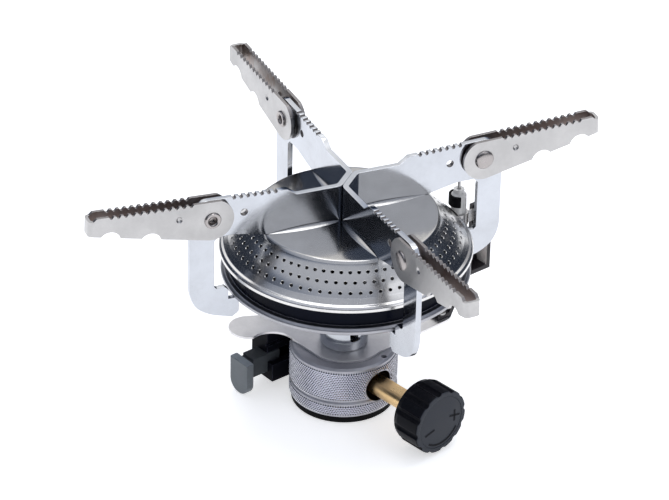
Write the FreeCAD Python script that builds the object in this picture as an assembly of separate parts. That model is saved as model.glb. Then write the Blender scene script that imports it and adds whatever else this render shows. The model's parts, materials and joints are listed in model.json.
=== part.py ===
import FreeCAD, Part
import math
import os

# Backpacking stove: folding pot supports on a burner head, above a valve that screws on a gas cartridge.
# Millimetres and degrees. Origin: centre of the base's underside. +Z up, +X along the right arm.

V = FreeCAD.Vector
UP = V(0, 0, 1)
ORIGIN = V(0, 0, 0)

# Fits
FIT = 0.05
SEAT_GAP = 0.05
STOP_GAP = 0.12

# Valve base and the ring that rests on the cartridge
BASE_RADIUS = 20.0
BASE_TOP = 24.0
BASE_CHAMFER = 0.8
BASE_GROOVE_Z = 8.5
BASE_GROOVE_WIDTH = 1.1
BASE_GROOVE_DEPTH = 0.6
VENT_RADIUS = 1.1
VENT_DEPTH = 3.0
VENT_INSET = 2.0
VENT_ANGLE = -56.0
BOSS_RADIUS = 7.6
BOSS_BOTTOM = 1.6
RECESS_WALL = 4.6
RECESS_TOP = 6.4
RING_INSET = 0.4
RING_WIDTH = 3.4
RING_HEIGHT = 3.1
RING_ROUND = 0.5
RING_LIP_WIDTH = 1.5
RING_LIP_HEIGHT = 1.5

# Cartridge socket, 7/16 inch 28 UNEF, and what lies above it
SOCKET_RADIUS = 5.2
SOCKET_THREAD_LENGTH = 7.4
SOCKET_RELIEF = 0.25
SEAL_LIFT = 0.2
SEAL_WIRE = 0.7
FILTER_HEIGHT = 0.6
FILTER_BORE = 1.6
PIN_RADIUS = 1.0
PIN_SEAT_DEPTH = 1.2
PIN_LIFT = 0.25

# Valve, along the knob's axis: distances are from the stove's axis
KNOB_ANGLE = -68.8
VALVE_Z = 13.8
SEAT_HOLE_RADIUS = 0.8
SEAT_AT = 2.4
CHAMBER_RADIUS = 2.2
INLET_AT = 3.2
INLET_RADIUS = 0.6
POCKET_AT = 6.2
POCKET_LENGTH = 2.0
GLAND_RADIUS = 5.6
GLAND_LENGTH = 3.8
GLAND_HEAD = 0.8
PORT_RADIUS = 6.25
NEEDLE_RADIUS = 1.5
NEEDLE_FLANGE_AT = 4.0
NEEDLE_FLANGE = 1.2
NEEDLE_TAIL = 4.8
NEEDLE_TIP = 0.7
NEEDLE_LIFT = 1.5
STEM_RADIUS = 3.0
SPINDLE_RADIUS = 4.0
SPINDLE_FLAT = 3.2
KNOB_FRONT = 52.6
KNOB_RADIUS = 12.7
KNOB_LENGTH = 12.9
KNOB_TAPER = 0.9
KNOB_WALL = 2.4
KNOB_HUB_RADIUS = 6.0
KNOB_HUB_INSET = 1.0
FLUTES = 24
FLUTE_RADIUS = 1.0
FLUTE_DEPTH = 0.55
KNOB_FACE_RADIUS = 10.6
KNOB_FACE_HEIGHT = 1.2

# Gas jet, tube socket and mixing tube
SPIGOT_RADIUS = 6.4
SPIGOT_HEIGHT = 4.5
JET_THREAD_RADIUS = 2.5
JET_THREAD_LENGTH = 4.0
JET_HEX = 6.5
JET_HEAD = 3.0
JET_ORIFICE = 0.2
TUBE_SOCKET_RADIUS = 9.1
TUBE_SOCKET_HEIGHT = 3.8
TUBE_RADIUS = 9.5
TUBE_WALL = 1.1
TUBE_STEP = 1.0
TUBE_REACH = 5.0
AIR_HOLE_RADIUS = 1.7
AIR_HOLE_UP = 3.0
AIR_HOLES = 4
AIR_HOLE_ANGLE = -88.5

# Burner bowl and perforated cap; the cap's points are in from its rim and up from its rim's top
BOWL_SHEET = 0.8
BOWL_NECK_DROP = 7.8
BOWL_NECK_HEIGHT = 3.0
BOWL_FLOOR_ROUND = 2.0
BOWL_RIM_RADIUS = 46.4
BOWL_RIM_Z = 55.8
BOWL_RIM_HEIGHT = 2.9
BOWL_RIM_DRAFT = 1.0
BOWL_WALL_INSET = 2.8
BOWL_WALL_HEIGHT = 8.65
BOWL_FLANGE_WIDTH = 2.4
CAP_SHEET = 0.8
CAP_RIM_GAP = 0.3
CAP_RIM_DROP = 2.0
CAP_RIM_ROUND = 0.8
CAP_FOOT = (2.5, 0.2)
CAP_CONE = ((3.5, 2.0), (5.7, 5.3), (8.5, 7.75), (11.8, 10.2))
CAP_STEP = (12.35, 11.0)
CAP_DISC_EDGE = 0.85
CAP_DISC_RISE = 0.95
CAP_HOLE_RADIUS = 0.62
CAP_HOLES = 72
CAP_HOLE_SIDES = 6

# Pot support sheets: two bent sheets, back to back at the centre
ARM_SHEET = 2.2
ARM_OFFSET = 3.2
ARM_SKEW = 4.9
ARM_BEND = 3.0
ARM_START = 8.0
ARM_RISE = 0.045
ARM_HEIGHT = 17.6
ARM_CENTRE_DROP = 3.0
ARM_STEP_RUN = 3.7
ARM_STEP_BACK = 4.5
ARM_TEETH_BACK = 25.1
ARM_TEETH = 7
ARM_TOOTH_PITCH = 2.68
ARM_NOTCH = (1.3, 0.7, 0.8)
ARM_FLOOR_INSET = 0.4
ARM_UNDER = (9.3, 8.9)
ARM_UNDER_ROUND = 1.5
LEG_GAP = 7.0
LEG_WIDTH = 9.7
LEG_CORNER = 1.0
FOOT_OUTER_UP = 4.2
FOOT_SLOPE = ((2.3, 1.6), (7.6, 5.4))
FOOT_DEPTH = 8.2
FOOT_TOE_IN = 2.6
FOOT_TOE_RISE = 2.0
SLOT_GAP = 1.5
SLOT_DEPTH = 5.4
SLOT_CHAMFER = 1.0
FOOT_HORN = 1.3
HORN_DROP = 0.15
DETENT_BACK = 12.9
DETENT_DROP = 0.3
DETENT_RADIUS = 1.4

# Folding leaves: hairpin channels on rivets
PIVOT_INSET = 8.3
PIVOT_DROP = 6.1
LEAF_SHEET = 1.2
LEAF_GAP = 4.0
LEAF_END_RADIUS = 8.2
LEAF_TOP = 7.6
LEAF_LENGTH = 45.4
LEAF_TOE = 0.3
LEAF_SLOPE = 0.195
LEAF_TEETH = 12
LEAF_TOOTH_AT = 8.5
LEAF_TOOTH_PITCH = 2.75
LEAF_NOTCH = (1.9, 0.5, 1.0)
LEAF_NOSE_ROUND = 1.2
SCALLOP_AT = (23.2, 38.7)
SCALLOP_RADIUS = 4.1
SCALLOP_CHORD = 7.4
WEB_LOW = 0.4
WEB_ROUND = 1.8
STOP_WIDTH = 1.75
STOP_LOW = -7.05
STOP_HIGH = -6.0
DIMPLE_AT = (12.8, 2.2)
DIMPLE_RADIUS = 1.3
DIMPLE_DEPTH = 0.6
RIVET_RADIUS = 2.0
RIVET_HEAD = 3.7
RIVET_HEAD_HEIGHT = 1.2
RIVET_TAIL = 3.1
RIVET_TAIL_HEIGHT = 0.8
RIVET_BORE = 1.5
RIVET_BORE_DEPTH = 2.2
WASHER_RADIUS = 5.5

# Bracket plate between base and tube; it is drawn from the axis, its wings' back edge square to it
PLATE_SHEET = 1.0
PLATE_TURN = -13.5
PLATE_NOSE = 15.4
PLATE_BACK = 20.3
LEFT_TAB_REACH = 34.6
LEFT_TAB_RADIUS = 7.4
RIGHT_TAB_BACK = 25.8
RIGHT_TAB_RADIUS = 7.1
SCOOP = ((-18.9, 2.1), (-26.3, 8.3), (-33.5, 5.4))
PLATE_NOSE_LEFT = (-10.9, -10.5)
PLATE_NOSE_RIGHT = (11.8, -9.9)
PLATE_RIGHT_EDGE = (4.0, 8.1)

# Igniter: its axis is level; along it is measured from the point nearest to the stove's axis
IGNITER_ANGLE = 197.0
IGNITER_FACE = 19.7
IGNITER_LENGTH = 27.0
IGNITER_NEAR = 21.4
IGNITER_FAR = 30.8
IGNITER_BOTTOM = 4.0
LUG_NEAR = 18.1
LUG_TOP = 11.4
LUG_LENGTH = 12.0
IGNITER_GROOVES = (14.1, 18.1)
IGNITER_GROOVE = (1.3, 0.8)
STEM_WIDTH = 6.5
STEM_BOTTOM = 6.9
STEM_TOP = 15.1
STEM_SHOWN = 8.0
STEM_INSIDE = 6.0
BUTTON_TRAVEL = 5.0
BUTTON_THICK = 3.3
BUTTON_WIDTH = 10.4
BUTTON_BOTTOM = 0.5
BUTTON_TOP = 14.7
BUTTON_ROUND = 4.8
BUTTON_NOTCH = 1.2
SCREW_AT = 8.5
SCREW_RADIUS = 1.5
SCREW_HEAD_RADIUS = 2.75
SCREW_HEAD = 1.6
SCREW_LENGTH = 8.0

# Electrode and its channel bracket, which stands on the plate's right wing behind the right leg
CHANNEL_ANGLE = 17.0
CHANNEL_OUT = 15.6
CHANNEL_SIDE = 6.4
CHANNEL_WIDTH = 11.0
CHANNEL_DEPTH = 7.4
CHANNEL_WALL = 1.8
CHANNEL_DROP = 16.1
CHANNEL_LOWER_HEIGHT = 7.5
CHANNEL_HEIGHT = 26.3
CHANNEL_UPPER_WIDTH = 5.0
STRAP_SHEET = 1.8
STRAP_RUN = 7.5
STRAP_FOOT = 6.5
STRAP_RIVET = 1.4
ELECTRODE_ACROSS = 10.8
ELECTRODE_BACK = 7.1
CERAMIC_RADIUS = 3.0
CERAMIC_UP = 17.3
CERAMIC_HEIGHT = 18.0
CERAMIC_STEP_RADIUS = 2.1
CERAMIC_STEP = 1.6
SLEEVE_UP = 11.45
SLEEVE_HEIGHT = 4.35
SLEEVE_WALL = 0.8
SLEEVE_OPENING = (-100.0, 60.0)
WIRE_RADIUS = 0.6
WIRE_TIP = 3.3
WIRE_TAIL = 2.0
CLIP_UP = 3.0
CLIP_HEIGHT = 5.0
CLIP_SHEET = 0.8
LEAD_RADIUS = 0.9
LEAD_SAG = 2.5
LEAD_BEND = 2.2

# Derived places
BASE_FLOOR = RING_HEIGHT
RING_RADIUS = BASE_RADIUS - RING_INSET
RING_INNER = RING_RADIUS - RING_WIDTH
SOCKET_END = BOSS_BOTTOM + SOCKET_THREAD_LENGTH
FILTER_Z = SOCKET_END + SEAL_LIFT + 2 * SEAL_WIRE
SOCKET_ROOF = FILTER_Z + FILTER_HEIGHT
POCKET_END = POCKET_AT + POCKET_LENGTH
GLAND_END = POCKET_END + GLAND_LENGTH
SPINDLE_START = NEEDLE_FLANGE_AT + NEEDLE_FLANGE + NEEDLE_LIFT + 4 * FIT
KNOB_BACK = KNOB_FRONT - KNOB_LENGTH
PLATE_TOP = BASE_TOP + PLATE_SHEET
SPIGOT_TOP = BASE_TOP + SPIGOT_HEIGHT
TUBE_BOTTOM = PLATE_TOP + TUBE_SOCKET_HEIGHT
BOWL_NECK_Z = BOWL_RIM_Z - BOWL_NECK_DROP
TUBE_TOP = BOWL_NECK_Z + TUBE_REACH
BOWL_WALL_RADIUS = BOWL_RIM_RADIUS - BOWL_WALL_INSET
BOWL_RIM_TOP = BOWL_RIM_Z + BOWL_RIM_HEIGHT
BOWL_FLANGE_RADIUS = BOWL_WALL_RADIUS + BOWL_FLANGE_WIDTH
BOWL_FLANGE_TOP = BOWL_RIM_TOP + BOWL_WALL_HEIGHT
CAP_RIM_RADIUS = BOWL_FLANGE_RADIUS + CAP_RIM_GAP + CAP_SHEET
CAP_RIM_TOP = BOWL_FLANGE_TOP + SEAT_GAP + CAP_SHEET
CAP_DISC_RADIUS = CAP_RIM_RADIUS - CAP_STEP[0] - CAP_DISC_EDGE
CAP_DISC_Z = CAP_RIM_TOP + CAP_STEP[1] + CAP_DISC_RISE
SLOT_WALL = BOWL_RIM_RADIUS + SLOT_GAP
SLOT_FLOOR = BOWL_RIM_Z - SEAT_GAP
LEG_INNER = BOWL_RIM_RADIUS + LEG_GAP
LEG_OUTER = LEG_INNER + LEG_WIDTH
PIVOT_AT = LEG_OUTER - PIVOT_INSET
ARM_FLOOR = CAP_DISC_Z + SEAT_GAP
ARM_FLOOR_END = CAP_DISC_RADIUS - ARM_FLOOR_INSET
ARM_TOOTH_Z = ARM_FLOOR + ARM_HEIGHT
ARM_CENTRE_TOP = ARM_TOOTH_Z - ARM_CENTRE_DROP
ARM_TOOTH_AT = PIVOT_AT - ARM_TEETH_BACK
PIVOT_Z = ARM_TOOTH_Z - PIVOT_DROP
CHANNEL_NEAR = BOWL_RIM_RADIUS + CHANNEL_OUT
CHANNEL_BOTTOM = BOWL_RIM_Z - CHANNEL_DROP
CHANNEL_TOP = CHANNEL_BOTTOM + CHANNEL_HEIGHT
RIGHT_TAB_REACH = CHANNEL_NEAR - RIGHT_TAB_BACK
CERAMIC_BOTTOM = CHANNEL_BOTTOM + CERAMIC_UP
CERAMIC_TOP = CERAMIC_BOTTOM + CERAMIC_HEIGHT
SLEEVE_BOTTOM = CERAMIC_BOTTOM + SLEEVE_UP
CLIP_BOTTOM = CERAMIC_BOTTOM + CLIP_UP
CLIP_TOP = CLIP_BOTTOM + CLIP_HEIGHT
WASHER = (LEAF_GAP - ARM_SHEET) / 2 - FIT / 2
LEAF_HALF = LEAF_GAP / 2 + LEAF_SHEET
LEAF_TILT = math.degrees(math.atan(ARM_RISE))
REAR_ANGLE = 90.0 + ARM_SKEW
ARMS = {
    "right": (0.0, 1),
    "rear": (REAR_ANGLE, -1),
    "left": (180.0, 1),
    "front": (180.0 + REAR_ANGLE, -1),
}


def turn(shape, angle, centre=ORIGIN, axis=UP):
    """A copy of the shape, turned about an axis."""
    copy = shape.copy()
    copy.rotate(centre, axis, angle)
    return copy


def shift(shape, x=0.0, y=0.0, z=0.0):
    """A copy of the shape, moved."""
    copy = shape.copy()
    copy.translate(V(x, y, z))
    return copy


def direction(angle):
    """The level unit vector at an angle from +X."""
    return V(math.cos(math.radians(angle)), math.sin(math.radians(angle)), 0)


def face_of(start, steps, place):
    """A closed face. A step of two numbers is a line, and one of four an arc through its first point."""
    edges = []
    here = start
    for step in list(steps) + [start]:
        end = tuple(step[-2:])
        if len(step) == 4:
            edges.append(Part.Arc(place(*here), place(*step[:2]), place(*end)).toShape())
        elif math.dist(here, end) > 1e-6:
            edges.append(Part.makeLine(place(*here), place(*end)))
        here = end
    return Part.Face(Part.Wire(edges))


def upright(x, z):
    """A point of a profile drawn in the XZ plane."""
    return V(x, 0, z)


def flat(x, y):
    """A point of an outline drawn in the XY plane."""
    return V(x, y, 0)


def revolved(start, *steps):
    """A solid turned about Z from a profile of radii and heights."""
    return face_of(start, steps, upright).revolve(ORIGIN, UP, 360)


def plate(start, steps, thickness, middle=0.0):
    """A sheet solid in the XZ plane, centred on the given distance along Y."""
    face = face_of(start, steps, upright)
    return shift(face.extrude(V(0, thickness, 0)), y=middle - thickness / 2)


def slab(start, steps, low, high):
    """A solid drawn in plan between two heights."""
    return shift(face_of(start, steps, flat).extrude(V(0, 0, high - low)), z=low)


def box(x0, x1, y0, y1, z0, z1):
    """A block between two corners."""
    return Part.makeBox(x1 - x0, y1 - y0, z1 - z0, V(x0, y0, z0))


def rod(radius, start, end):
    """A round bar between two points."""
    span = end - start
    return Part.makeCylinder(radius, span.Length, start, span)


def hexagon(across_flats, low, high):
    """A hexagonal bar on the Z axis."""
    radius = across_flats / math.sqrt(3)
    corners = [(radius * math.cos(math.radians(60 * n)), radius * math.sin(math.radians(60 * n))) for n in range(6)]
    return slab(corners[0], corners[1:], low, high)


def ring_of(wire_radius, middle_radius, z):
    """A seal ring about Z."""
    return Part.makeTorus(middle_radius, wire_radius, V(0, 0, z))


def on_valve(shape):
    """Place a solid drawn about Z, from the stove's axis outwards, on the valve's axis."""
    level = turn(shape, 90, axis=V(0, 1, 0))
    return shift(turn(level, KNOB_ANGLE), z=VALVE_Z)


def on_arm(shape, arm):
    """Place a solid drawn with X outwards and Y across the sheet on an arm."""
    angle, side = ARMS[arm]
    return turn(shift(shape, y=side * ARM_OFFSET), angle)


def notch_points(first, pitch, count, height, notch):
    """Points along a toothed edge: each notch is a trapezium, cut down from the edge's height."""
    mouth, bottom, depth = notch
    points = []
    for number in range(count):
        x = first + number * pitch
        points.append((x - mouth / 2, height(x - mouth / 2)))
        points.append((x - bottom / 2, height(x) - depth))
        points.append((x + bottom / 2, height(x) - depth))
        points.append((x + mouth / 2, height(x + mouth / 2)))
    return points


# Valve base

def base_body():
    """The aluminium base: socket below, valve bore from the side, spigot and jet bore above."""
    groove = BASE_GROOVE_Z
    recess = BASE_RADIUS - RECESS_WALL
    body = revolved(
        (0, BOSS_BOTTOM),
        (BOSS_RADIUS, BOSS_BOTTOM),
        (BOSS_RADIUS, RECESS_TOP),
        (recess, RECESS_TOP),
        (recess, BASE_FLOOR),
        (BASE_RADIUS, BASE_FLOOR),
        (BASE_RADIUS, groove),
        (BASE_RADIUS - BASE_GROOVE_DEPTH, groove + BASE_GROOVE_WIDTH / 2),
        (BASE_RADIUS, groove + BASE_GROOVE_WIDTH),
        (BASE_RADIUS, BASE_TOP - BASE_CHAMFER),
        (BASE_RADIUS - BASE_CHAMFER, BASE_TOP),
        (SPIGOT_RADIUS, BASE_TOP),
        (SPIGOT_RADIUS, SPIGOT_TOP),
        (0, SPIGOT_TOP),
    )
    lip = ring_lip(FIT)
    socket = rod(SOCKET_RADIUS, V(0, 0, BOSS_BOTTOM), V(0, 0, SOCKET_ROOF))
    relief = rod(SOCKET_RADIUS + SOCKET_RELIEF, V(0, 0, SOCKET_END), V(0, 0, SOCKET_ROOF))
    pin_hole = rod(PIN_RADIUS, V(0, 0, SOCKET_ROOF), V(0, 0, SOCKET_ROOF + PIN_SEAT_DEPTH))
    jet_way = rod(SEAT_HOLE_RADIUS, V(0, 0, VALVE_Z), V(0, 0, SPIGOT_TOP))
    jet_hole = rod(JET_THREAD_RADIUS, V(0, 0, SPIGOT_TOP - JET_THREAD_LENGTH - FIT), V(0, 0, SPIGOT_TOP))
    inlet = shift(rod(INLET_RADIUS, V(0, 0, SOCKET_ROOF), V(0, 0, VALVE_Z)), *(direction(KNOB_ANGLE) * INLET_AT))
    vent = shift(rod(VENT_RADIUS, V(0, 0, BASE_TOP - VENT_DEPTH), V(0, 0, BASE_TOP)),
                 *(direction(VENT_ANGLE) * (BASE_RADIUS - VENT_INSET)))
    valve_bore = revolved(
        (0, 0),
        (SEAT_HOLE_RADIUS, 0),
        (SEAT_HOLE_RADIUS, SEAT_AT),
        (CHAMBER_RADIUS, SEAT_AT),
        (CHAMBER_RADIUS, POCKET_AT),
        (STEM_RADIUS + 2 * SEAL_WIRE + FIT, POCKET_AT),
        (STEM_RADIUS + 2 * SEAL_WIRE + FIT, POCKET_END),
        (GLAND_RADIUS, POCKET_END),
        (GLAND_RADIUS, GLAND_END),
        (PORT_RADIUS, GLAND_END),
        (PORT_RADIUS, 2 * BASE_RADIUS),
        (0, 2 * BASE_RADIUS),
    )
    return body.cut([lip, socket, relief, pin_hole, jet_way, jet_hole, inlet, vent, on_valve(valve_bore)])


def ring_lip(gap):
    """The upper lip of the rubber ring, with a gap all round for its groove."""
    inner = (RING_INNER + RING_RADIUS - RING_LIP_WIDTH) / 2
    return revolved(
        (inner - gap, BASE_FLOOR),
        (inner + RING_LIP_WIDTH + gap, BASE_FLOOR),
        (inner + RING_LIP_WIDTH + gap, BASE_FLOOR + RING_LIP_HEIGHT + gap),
        (inner - gap, BASE_FLOOR + RING_LIP_HEIGHT + gap),
    )


def base_ring():
    """The rubber ring that the stove stands on and that presses on the cartridge."""
    outer = RING_RADIUS
    inner = RING_INNER
    ring = revolved(
        (inner, RING_ROUND),
        (inner + RING_ROUND, 0),
        (outer - RING_ROUND, 0),
        (outer, RING_ROUND),
        (outer, RING_HEIGHT),
        (inner, RING_HEIGHT),
    )
    return ring.fuse(ring_lip(0)).removeSplitter()


def inlet_seal():
    """The O-ring that the cartridge's neck presses on."""
    middle = SOCKET_RADIUS + SOCKET_RELIEF - SEAL_WIRE
    return ring_of(SEAL_WIRE, middle, SOCKET_END + SEAL_LIFT + SEAL_WIRE)


def gas_filter():
    """The sintered filter washer in the socket's roof."""
    radius = SOCKET_RADIUS + SOCKET_RELIEF - FIT
    return revolved(
        (FILTER_BORE, FILTER_Z),
        (radius, FILTER_Z),
        (radius, SOCKET_ROOF),
        (FILTER_BORE, SOCKET_ROOF),
    )


def valve_pin():
    """The pin that opens the cartridge's valve."""
    bottom = SOCKET_END + PIN_LIFT
    return rod(PIN_RADIUS, V(0, 0, bottom), V(0, 0, SOCKET_ROOF + PIN_SEAT_DEPTH))


# Valve

def valve_needle():
    """The needle: a cone at the seat, a threaded flange and a tail inside the spindle."""
    tip = SEAT_AT - NEEDLE_TIP
    flange_end = NEEDLE_FLANGE_AT + NEEDLE_FLANGE
    needle = revolved(
        (0, tip),
        (0.5 * SEAT_HOLE_RADIUS, tip),
        (SEAT_HOLE_RADIUS - FIT / 2, SEAT_AT - FIT),
        (1.5 * SEAT_HOLE_RADIUS, SEAT_AT + NEEDLE_TIP),
        (1.5 * SEAT_HOLE_RADIUS, NEEDLE_FLANGE_AT),
        (CHAMBER_RADIUS - FIT, NEEDLE_FLANGE_AT),
        (CHAMBER_RADIUS - FIT, flange_end),
        (NEEDLE_RADIUS, flange_end),
        (NEEDLE_RADIUS, flange_end + NEEDLE_TAIL),
        (0, flange_end + NEEDLE_TAIL),
    )
    return on_valve(needle)


def valve_spindle():
    """The brass spindle: a stem through the gland, then a bar with one flat that carries the knob."""
    bore_end = NEEDLE_FLANGE_AT + NEEDLE_FLANGE + NEEDLE_TAIL + NEEDLE_LIFT + 4 * FIT
    shoulder = GLAND_END + GLAND_HEAD + 2 * FIT
    end = KNOB_FRONT - KNOB_FACE_HEIGHT - KNOB_WALL
    bar = revolved(
        (NEEDLE_RADIUS + FIT, SPINDLE_START),
        (STEM_RADIUS, SPINDLE_START),
        (STEM_RADIUS, shoulder),
        (SPINDLE_RADIUS, shoulder),
        (SPINDLE_RADIUS, end),
        (0, end),
        (0, bore_end),
        (NEEDLE_RADIUS + FIT, bore_end),
    )
    return on_valve(bar.cut(spindle_flat(shoulder, end)))


def spindle_flat(low, high):
    """The block outside the spindle's flat, which faces up when the valve is shut."""
    reach = 2 * SPINDLE_RADIUS
    return box(-reach, -SPINDLE_FLAT, -reach, reach, low, high)


def spindle_seal():
    """The O-ring round the spindle's stem."""
    return on_valve(ring_of(SEAL_WIRE, STEM_RADIUS + SEAL_WIRE + FIT, POCKET_END - SEAL_WIRE))


def gland_nut():
    """The brass nut that holds the spindle and its seal in the base."""
    nut = revolved(
        (STEM_RADIUS + FIT, POCKET_END),
        (GLAND_RADIUS - FIT, POCKET_END),
        (GLAND_RADIUS - FIT, GLAND_END + GLAND_HEAD),
        (STEM_RADIUS + FIT, GLAND_END + GLAND_HEAD),
    )
    return on_valve(nut)


def knob():
    """The fluted plastic knob, hollow at the back round its hub."""
    front = KNOB_FRONT
    back = KNOB_BACK
    skirt = KNOB_RADIUS - KNOB_WALL
    face_floor = front - KNOB_FACE_HEIGHT
    body = revolved(
        (0, back + KNOB_HUB_INSET),
        (KNOB_HUB_RADIUS, back + KNOB_HUB_INSET),
        (KNOB_HUB_RADIUS, face_floor - 2 * KNOB_WALL),
        (skirt - KNOB_TAPER, face_floor - 2 * KNOB_WALL),
        (skirt - KNOB_TAPER, back),
        (KNOB_RADIUS - KNOB_TAPER, back),
        (KNOB_RADIUS, back + KNOB_WALL),
        (KNOB_RADIUS, front - KNOB_TAPER),
        (KNOB_RADIUS - KNOB_TAPER, front),
        (KNOB_FACE_RADIUS, front),
        (KNOB_FACE_RADIUS, face_floor),
        (0, face_floor),
    )
    reach = KNOB_RADIUS + FLUTE_RADIUS - FLUTE_DEPTH
    flute = rod(FLUTE_RADIUS, V(reach, 0, back - FLUTE_RADIUS), V(reach, 0, front + FLUTE_RADIUS))
    flutes = [turn(flute, 360 / FLUTES * (number + 0.5)) for number in range(FLUTES)]
    end = face_floor - KNOB_WALL
    hub_bore = rod(SPINDLE_RADIUS, V(0, 0, back), V(0, 0, end)).cut(spindle_flat(back, end))
    return on_valve(body.cut(flutes + [hub_bore]))


def knob_face():
    """The round insert in the knob's front."""
    radius = KNOB_FACE_RADIUS - FIT
    floor = KNOB_FRONT - KNOB_FACE_HEIGHT
    top = KNOB_FRONT - 0.25 * KNOB_FACE_HEIGHT
    return on_valve(revolved((0, floor), (radius, floor), (radius, top), (0, top)))


# Jet, tube and bracket plate

def gas_jet():
    """The brass jet in the base's spigot, with a hexagonal head."""
    thread_bottom = SPIGOT_TOP - JET_THREAD_LENGTH
    head_top = SPIGOT_TOP + JET_HEAD
    thread = rod(JET_THREAD_RADIUS - FIT, V(0, 0, thread_bottom), V(0, 0, SPIGOT_TOP))
    head = hexagon(JET_HEX, SPIGOT_TOP, head_top)
    way = rod(SEAT_HOLE_RADIUS, V(0, 0, thread_bottom), V(0, 0, head_top - SEAT_HOLE_RADIUS))
    orifice = rod(JET_ORIFICE, V(0, 0, thread_bottom), V(0, 0, head_top))
    return thread.fuse(head).cut([way, orifice])


def tube_socket():
    """The threaded ring that clamps the bracket plate on the base and carries the tube."""
    step = TUBE_RADIUS - TUBE_WALL - FIT
    return revolved(
        (SPIGOT_RADIUS + FIT, PLATE_TOP),
        (TUBE_SOCKET_RADIUS, PLATE_TOP),
        (TUBE_SOCKET_RADIUS, TUBE_BOTTOM),
        (step, TUBE_BOTTOM),
        (step, TUBE_BOTTOM + TUBE_STEP),
        (SPIGOT_RADIUS + FIT, TUBE_BOTTOM + TUBE_STEP),
    )


def mixing_tube():
    """The tube in which gas draws in air, from the socket up into the burner."""
    inner = TUBE_RADIUS - TUBE_WALL
    tube = revolved(
        (inner, TUBE_BOTTOM),
        (TUBE_RADIUS, TUBE_BOTTOM),
        (TUBE_RADIUS, TUBE_TOP),
        (inner, TUBE_TOP),
    )
    height = TUBE_BOTTOM + AIR_HOLE_UP
    hole = rod(AIR_HOLE_RADIUS, V(0, 0, height), V(2 * TUBE_RADIUS, 0, height))
    holes = [turn(hole, AIR_HOLE_ANGLE + 360 / AIR_HOLES * number) for number in range(AIR_HOLES)]
    return tube.cut(holes)


def bracket_plate():
    """The flat bracket: a nose at the front, a wing for the igniter and one for the electrode."""
    left = -LEFT_TAB_REACH
    right = RIGHT_TAB_REACH
    left_tab_y = PLATE_BACK - LEFT_TAB_RADIUS
    right_tab_y = PLATE_BACK - RIGHT_TAB_RADIUS
    scoop_start, scoop_middle, scoop_end = SCOOP
    edge_out, edge_y = PLATE_RIGHT_EDGE
    outline = slab(
        PLATE_NOSE_LEFT,
        [
            (0, -PLATE_NOSE) + PLATE_NOSE_RIGHT,
            (right + edge_out, edge_y),
            (right + RIGHT_TAB_RADIUS, right_tab_y) + (right, PLATE_BACK),
            (left, PLATE_BACK),
            (left - LEFT_TAB_RADIUS, left_tab_y) + scoop_end,
            scoop_middle + scoop_start,
        ],
        BASE_TOP,
        PLATE_TOP,
    )
    plate_solid = turn(outline, PLATE_TURN)
    hub = rod(SPIGOT_RADIUS + FIT, V(0, 0, BASE_TOP), V(0, 0, PLATE_TOP))
    holes = [hub, igniter_screw_shank(SCREW_RADIUS + FIT)]
    holes += [channel_frame(shank) for shank in strap_rivet_shanks(STRAP_RIVET + FIT)]
    return plate_solid.cut(holes)


# Burner

def burner_bowl():
    """The pressed bowl: neck on the tube, a dished floor, a folded rim, a wall and a flange."""
    neck = TUBE_RADIUS + FIT
    sheet = BOWL_SHEET
    wall = BOWL_WALL_RADIUS
    floor_end = wall - BOWL_FLOOR_ROUND
    rim_top = BOWL_RIM_TOP
    neck_top = BOWL_NECK_Z + BOWL_NECK_HEIGHT
    flange_top = BOWL_FLANGE_TOP
    return revolved(
        (neck, BOWL_NECK_Z),
        (neck + sheet, BOWL_NECK_Z),
        (neck + sheet, neck_top - sheet),
        (floor_end, BOWL_RIM_Z),
        (BOWL_RIM_RADIUS - sheet, BOWL_RIM_Z),
        (BOWL_RIM_RADIUS, BOWL_RIM_Z + sheet),
        (BOWL_RIM_RADIUS, rim_top - BOWL_RIM_DRAFT),
        (BOWL_RIM_RADIUS - BOWL_RIM_DRAFT, rim_top),
        (wall, rim_top),
        (wall, flange_top - sheet),
        (BOWL_FLANGE_RADIUS, flange_top - sheet),
        (BOWL_FLANGE_RADIUS, flange_top),
        (wall - sheet, flange_top),
        (wall - sheet, rim_top - sheet),
        (floor_end, BOWL_RIM_Z + sheet),
        (neck + 2 * sheet, neck_top),
        (neck, neck_top),
    )


def inward(points, thickness):
    """The points of a profile moved inwards by the sheet's thickness, with mitred corners."""
    normals = []
    for (x0, z0), (x1, z1) in zip(points, points[1:]):
        length = math.dist((x0, z0), (x1, z1))
        normals.append(((z0 - z1) / length, (x1 - x0) / length))
    moved = []
    for number, (x, z) in enumerate(points):
        before = normals[max(number - 1, 0)]
        after = normals[min(number, len(normals) - 1)]
        middle = (before[0] + after[0], before[1] + after[1])
        scale = 2 * thickness / (middle[0] ** 2 + middle[1] ** 2)
        moved.append((x + middle[0] * scale, z + middle[1] * scale))
    return moved


def cap_hole_tool(low, high):
    """A short bar with flats across a cone band's middle, square to the band."""
    (r0, z0), (r1, z1) = low, high
    slope = math.degrees(math.atan2(z1 - z0, r0 - r1))
    corner = CAP_HOLE_RADIUS * math.sqrt(2 * math.pi / (CAP_HOLE_SIDES * math.sin(2 * math.pi / CAP_HOLE_SIDES)))
    step = 2 * math.pi / CAP_HOLE_SIDES
    corners = [(corner * math.cos(n * step), corner * math.sin(n * step)) for n in range(CAP_HOLE_SIDES)]
    bar = slab(corners[0], corners[1:], -2 * CAP_SHEET, CAP_SHEET)
    return shift(turn(bar, slope, axis=V(0, 1, 0)), x=(r0 + r1) / 2, z=(z0 + z1) / 2)


def cap_point(inset, height):
    """A point of the cap's profile."""
    return CAP_RIM_RADIUS - inset, CAP_RIM_TOP + height


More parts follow.
